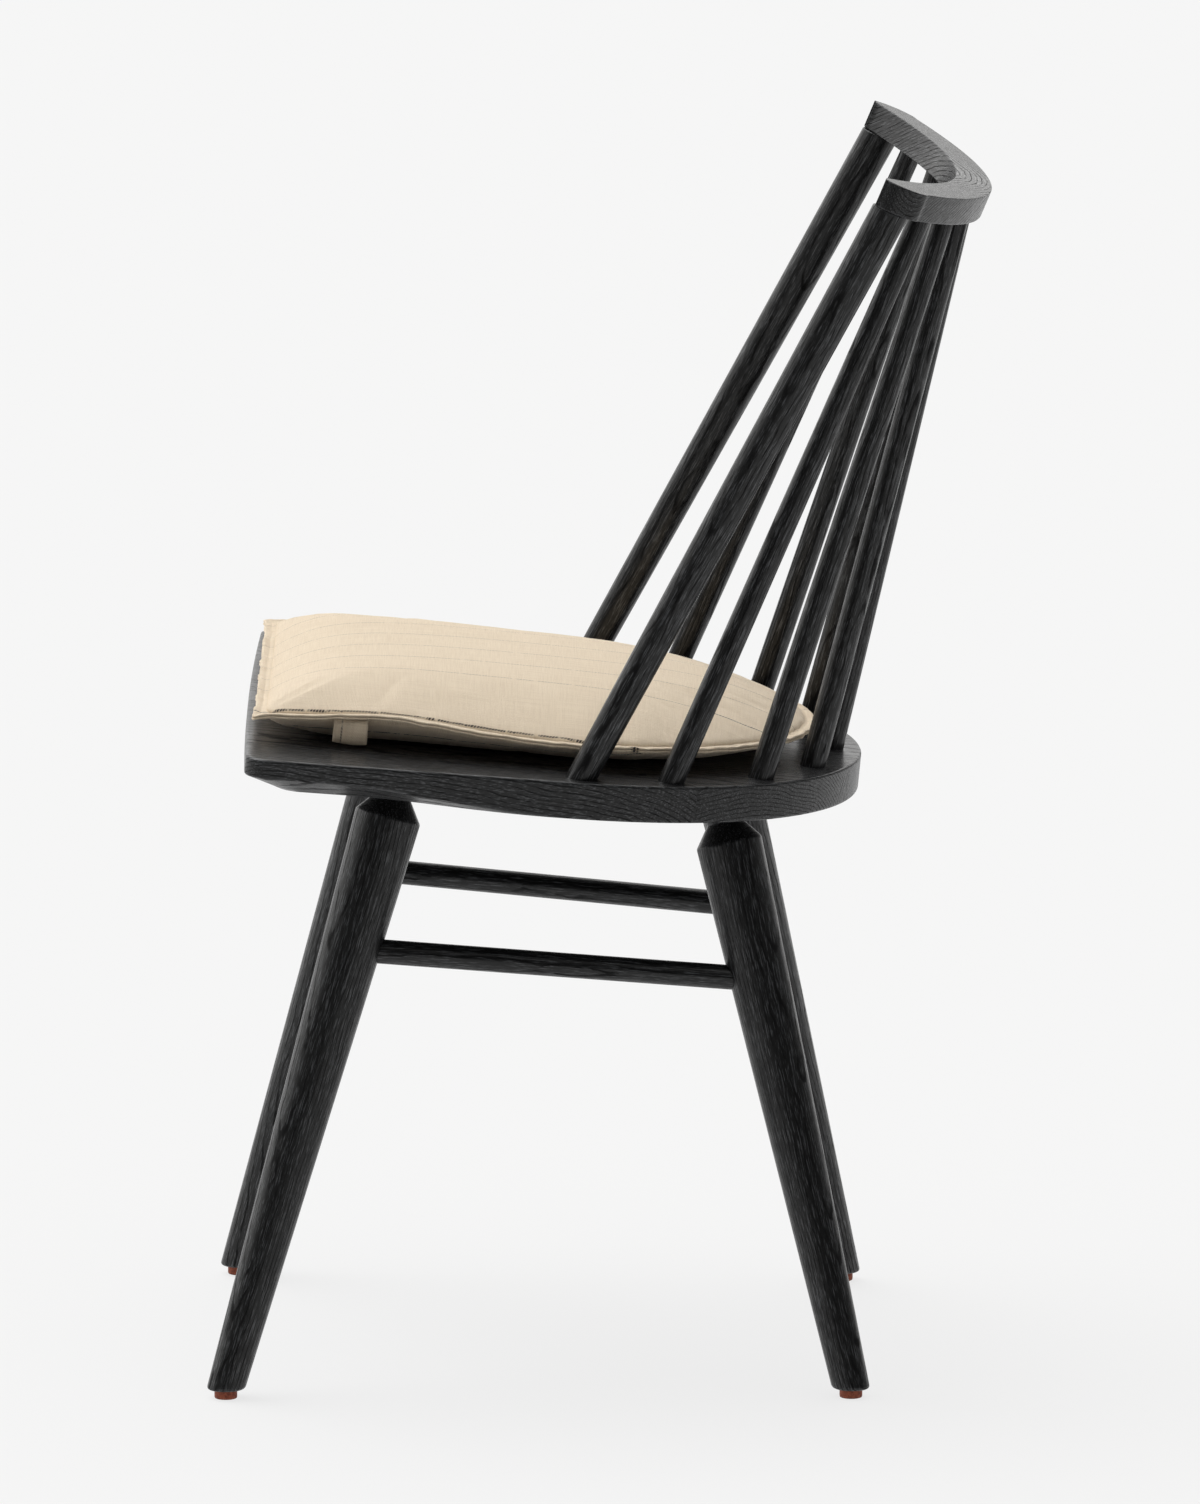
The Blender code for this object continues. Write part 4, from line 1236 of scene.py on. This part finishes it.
class CHAIR_OT_seam(bpy.types.Operator):
    """Sew the flat edge in which the cushion's two panels are folded and stitched together"""

    bl_idname = "chair.seam"
    bl_label = "Cushion Edge"

    def execute(self, context):
        sizes = context.scene.chair_cushion
        place = seat_place()
        ply = sizes.ply
        fold = np.linspace(math.pi / 2, -math.pi / 3, 7)
        upper = [*EDGE_PROFILE, (0.0026, ply)]
        upper += [(ply / 2 - ply / 2 * math.cos(a), ply / 2 + ply / 2 * math.sin(a)) for a in fold]
        section = np.array(upper + [(0.0017, 0.0)] + [(inset, -height) for inset, height in upper[::-1]])
        base = cushion_outline(sizes, 0.0, EDGE_CORNER)
        step = np.linalg.norm(np.roll(base, -1, 0) - base, axis=1)
        length = np.concatenate(((0.0,), np.cumsum(step)[:-1]))
        total = step.sum()
        tips = [np.array((side * sizes.back_radius, sizes.front)) for side in (-1, 1)]
        ears = sum(np.exp(-(np.linalg.norm(base - tip, axis=1) / EAR_REACH) ** 2) for tip in tips)
        front = 1.0 - eased(base[:, 1], sizes.front + 0.004, sizes.front + 0.030)
        pucker = wobble(length, total, (0.046, 0.027, 0.019), 1.0) * (0.0006 + 0.0007 * front)
        lift = wobble(length, total, (0.094, 0.039, 0.023), 2.0) * (0.0006 + 0.0009 * front)
        rings = []
        for inset, height in section:
            drawn = cushion_outline(sizes, inset, EDGE_CORNER)
            outwards = unit(base - cushion_outline(sizes, EDGE_CORNER, EDGE_CORNER))
            fade = 1.0 - inset / 0.010
            flat = drawn + outwards * ((pucker + ears * EAR_LENGTH) * fade)[:, None]
            thick = 1.0 + 0.25 * wobble(length, total, (0.013, 0.0083), 3.0 + np.sign(height))
            rise = seam_level(base, sizes) + lift * fade + height * thick - ears * EAR_DROP * fade
            rings.append(np.column_stack((flat, rise)))
        rings = np.array(rings + [rings[0]])
        points = into(place, rings)
        faces = grid_faces(*rings.shape[:2], True)
        below = np.repeat((np.append(section[:, 1], section[0, 1]) < 0.0), len(base))
        flat = rings.reshape(-1, 3)
        values = np.column_stack((flat[:, :2] * EDGE_STRETCH, below * EDGE_TWILL))
        mesh = new_mesh("cushion_seam", points, faces, {"cloth": values})
        edge = new_piece("cushion_seam", mesh, linen_finish(context), ["cushion_top_panel"])
        smooth_out(edge)
        return {"FINISHED"}


class CHAIR_OT_loop(bpy.types.Operator):
    """Sew the short doubled strap below the seam on the right-hand side"""

    bl_idname = "chair.loop"
    bl_label = "Cushion Strap"

    def execute(self, context):
        sizes = context.scene.chair_cushion
        place = seat_place()
        node = "cushion_side_loop"
        local = out_of(place, node_points(node))
        low, high = local.min(0), local.max(0)
        along = np.linspace(-1.0, 1.0, STRAP_ROWS)
        turn = np.linspace(0.0, math.tau, STRAP_SIDES, endpoint=False)
        height = (sizes.seam_height + sizes.seam_rise * 0.5 - low[2]) / 2.0
        centre = low[2] + height
        square = STRAP_END + (1.0 - STRAP_END) * (1.0 - np.abs(along) ** 10) ** 0.5
        out = np.sign(np.cos(turn)) * np.abs(np.cos(turn)) ** 0.75
        up = np.sign(np.sin(turn)) * np.abs(np.sin(turn)) ** 0.55
        belly = STRAP_BELLY * (1.0 - up ** 2)
        x = sizes.back_radius - STRAP_INSET + STRAP_HALF * out[None] * square[:, None] + belly[None]
        x = x + 0.0007 * np.sin(along * 2.6)[:, None]
        y = (low[1] + high[1]) / 2.0 + (high[1] - low[1]) / 2.0 * along[:, None]
        z = centre + height * up[None] * (0.97 + 0.03 * square[:, None]) + 0.0008 * along[:, None] ** 2
        rings = capped(np.stack(np.broadcast_arrays(x, y, z), -1))
        # The third value, 0.6, gives the strap part of the lower panel's twill and painted shade.
        values = rings.reshape(-1, 3)[:, [1, 2, 0]] * np.array((1.0, 1.0, 0.0)) + np.array((0.011, 0.0, 0.6))
        mesh = new_mesh(node, into(place, rings), grid_faces(*rings.shape[:2], True), {"cloth": values})
        strap = new_piece("cushion_strap", mesh, linen_finish(context), [node])
        return {"FINISHED"}


# Stage ----------------------------------------------------------------------------------------

def add_sun(scene):
    """The soft main light, from high on the left."""
    data = bpy.data.lights.new("main_light", "SUN")
    data.energy = SUN_STRENGTH
    data.angle = SUN_SPREAD
    lamp = bpy.data.objects.new("main_light", data)
    lamp.rotation_euler = Vector(SUN_PLACE).to_track_quat("Z", "Y").to_euler()
    scene.collection.objects.link(lamp)


def make_room_light(scene):
    """Even studio light from all round: brighter overhead and behind, dimmer at the camera."""
    scene.world = bpy.data.worlds.new("studio")
    sky = Nodes(scene.world, "Background")
    x, y, z = sky.split(sky.node("ShaderNodeTexCoord", output="Generated"))
    behind = sky.ramp(x, 0.55, -0.15)
    overhead = sky.ramp(z, 0.40, 1.0)
    right = sky.ramp(y, 0.10, 0.65)
    left = sky.ramp(y, 0.0, -0.8)
    strength = 0.055 + behind * 1.15 * (1.0 - right * 0.88) + overhead * 0.80 + left * 0.10
    sky.feed(Strength=strength)
    sky.shader.inputs["Color"].default_value = (1.0, 0.995, 0.985, 1.0)


def make_floor_finish(look):
    """Matt pale floor with the faintest mottle, lit from below so that shadows on it stay soft."""
    floor = Finish("floor", {"Roughness": 0.9, "Specular IOR Level": 0.0,
                             "Emission Color": (1.0, 1.0, 1.0, 1.0), "Emission Strength": look.glow})
    mottle = floor.noise(floor.place(), (1.3, 1.3, 1.3), 3.0)
    pale = tuple(look.floor)
    floor.feed(Base_Color=floor.mix(mottle * 0.4, pale, tuple(0.985 * c for c in pale)))
    return floor.material


class CHAIR_OT_stage(bpy.types.Operator):
    """Set the floor, the light and the camera"""

    bl_idname = "chair.stage"
    bl_label = "Stage"

    def execute(self, context):
        scene = context.scene
        look = scene.chair_stage
        scene.view_settings.view_transform = "Standard"
        angle = np.linspace(0.0, math.tau, FLOOR_SIDES, endpoint=False)
        circle = np.stack((np.cos(angle), np.sin(angle), np.zeros(FLOOR_SIDES)), -1)
        rings = np.array(FLOOR_RADII)[:, None, None] * circle
        mesh = new_mesh("floor", rings, grid_faces(*rings.shape[:2], True), {})
        if mesh.polygons[0].normal.z < 0.0:
            mesh.flip_normals()
        mesh.materials.append(make_floor_finish(look))
        floor = bpy.data.objects.new("floor", mesh)
        scene.collection.objects.link(floor)
        make_room_light(scene)
        add_sun(scene)

        data = bpy.data.cameras.new("camera")
        data.lens = look.lens
        data.clip_end = VIEW_DEPTH
        camera = bpy.data.objects.new("camera", data)
        flat = look.distance * math.cos(look.pitch)
        target = Vector((0.0, look.target_y, look.target_z))
        offset = Vector((flat * math.cos(look.yaw), flat * math.sin(look.yaw),
                         look.distance * math.sin(look.pitch)))
        turn = (-offset).to_track_quat("-Z", "Y").to_matrix().to_4x4()
        camera.matrix_world = Matrix.Translation(target + offset) @ turn @ Matrix.Rotation(look.roll, 4, "Z")
        scene.collection.objects.link(camera)
        scene.camera = camera
        return {"FINISHED"}


class CHAIR_PT_panel(bpy.types.Panel):
    """The chair's pieces, in the order in which they are made"""

    bl_idname = "CHAIR_PT_panel"
    bl_label = "Stick-Back Chair"
    bl_space_type = "VIEW_3D"
    bl_region_type = "UI"
    bl_category = "Chair"

    def draw(self, context):
        for operator in OPERATORS:
            self.layout.operator(operator.bl_idname)
        for label in SETTINGS:
            box = self.layout.box()
            settings = getattr(context.scene, label)
            for name in settings.bl_rna.properties.keys():
                if name not in ("rna_type", "name"):
                    box.prop(settings, name)


OPERATORS = (CHAIR_OT_stage, CHAIR_OT_seat, CHAIR_OT_legs, CHAIR_OT_stretchers, CHAIR_OT_glides,
             CHAIR_OT_screws, CHAIR_OT_sticks, CHAIR_OT_crest, CHAIR_OT_cushion, CHAIR_OT_seam,
             CHAIR_OT_loop)
SETTINGS = {
    "chair_seat": SeatSizes,
    "chair_sticks": StickSizes,
    "chair_crest": CrestSizes,
    "chair_oak": OakLook,
    "chair_cushion": CushionSizes,
    "chair_linen": LinenLook,
    "chair_stage": StageLook,
}


def register():
    for settings in SETTINGS.values():
        bpy.utils.register_class(settings)
    for label, settings in SETTINGS.items():
        setattr(bpy.types.Scene, label, bpy.props.PointerProperty(type=settings))
    for part in (*OPERATORS, CHAIR_PT_panel):
        bpy.utils.register_class(part)


def unregister():
    for part in (CHAIR_PT_panel, *reversed(OPERATORS)):
        bpy.utils.unregister_class(part)
    for label, settings in reversed(SETTINGS.items()):
        delattr(bpy.types.Scene, label)
        bpy.utils.unregister_class(settings)


def main():
    register()
    bpy.ops.chair.stage()
    bpy.ops.chair.seat()
    bpy.ops.chair.legs()
    bpy.ops.chair.stretchers()
    bpy.ops.chair.glides()
    bpy.ops.chair.screws()
    bpy.ops.chair.sticks()
    bpy.ops.chair.crest()
    bpy.ops.chair.cushion()
    bpy.ops.chair.seam()
    bpy.ops.chair.loop()


if __name__ == "__main__":
    main()
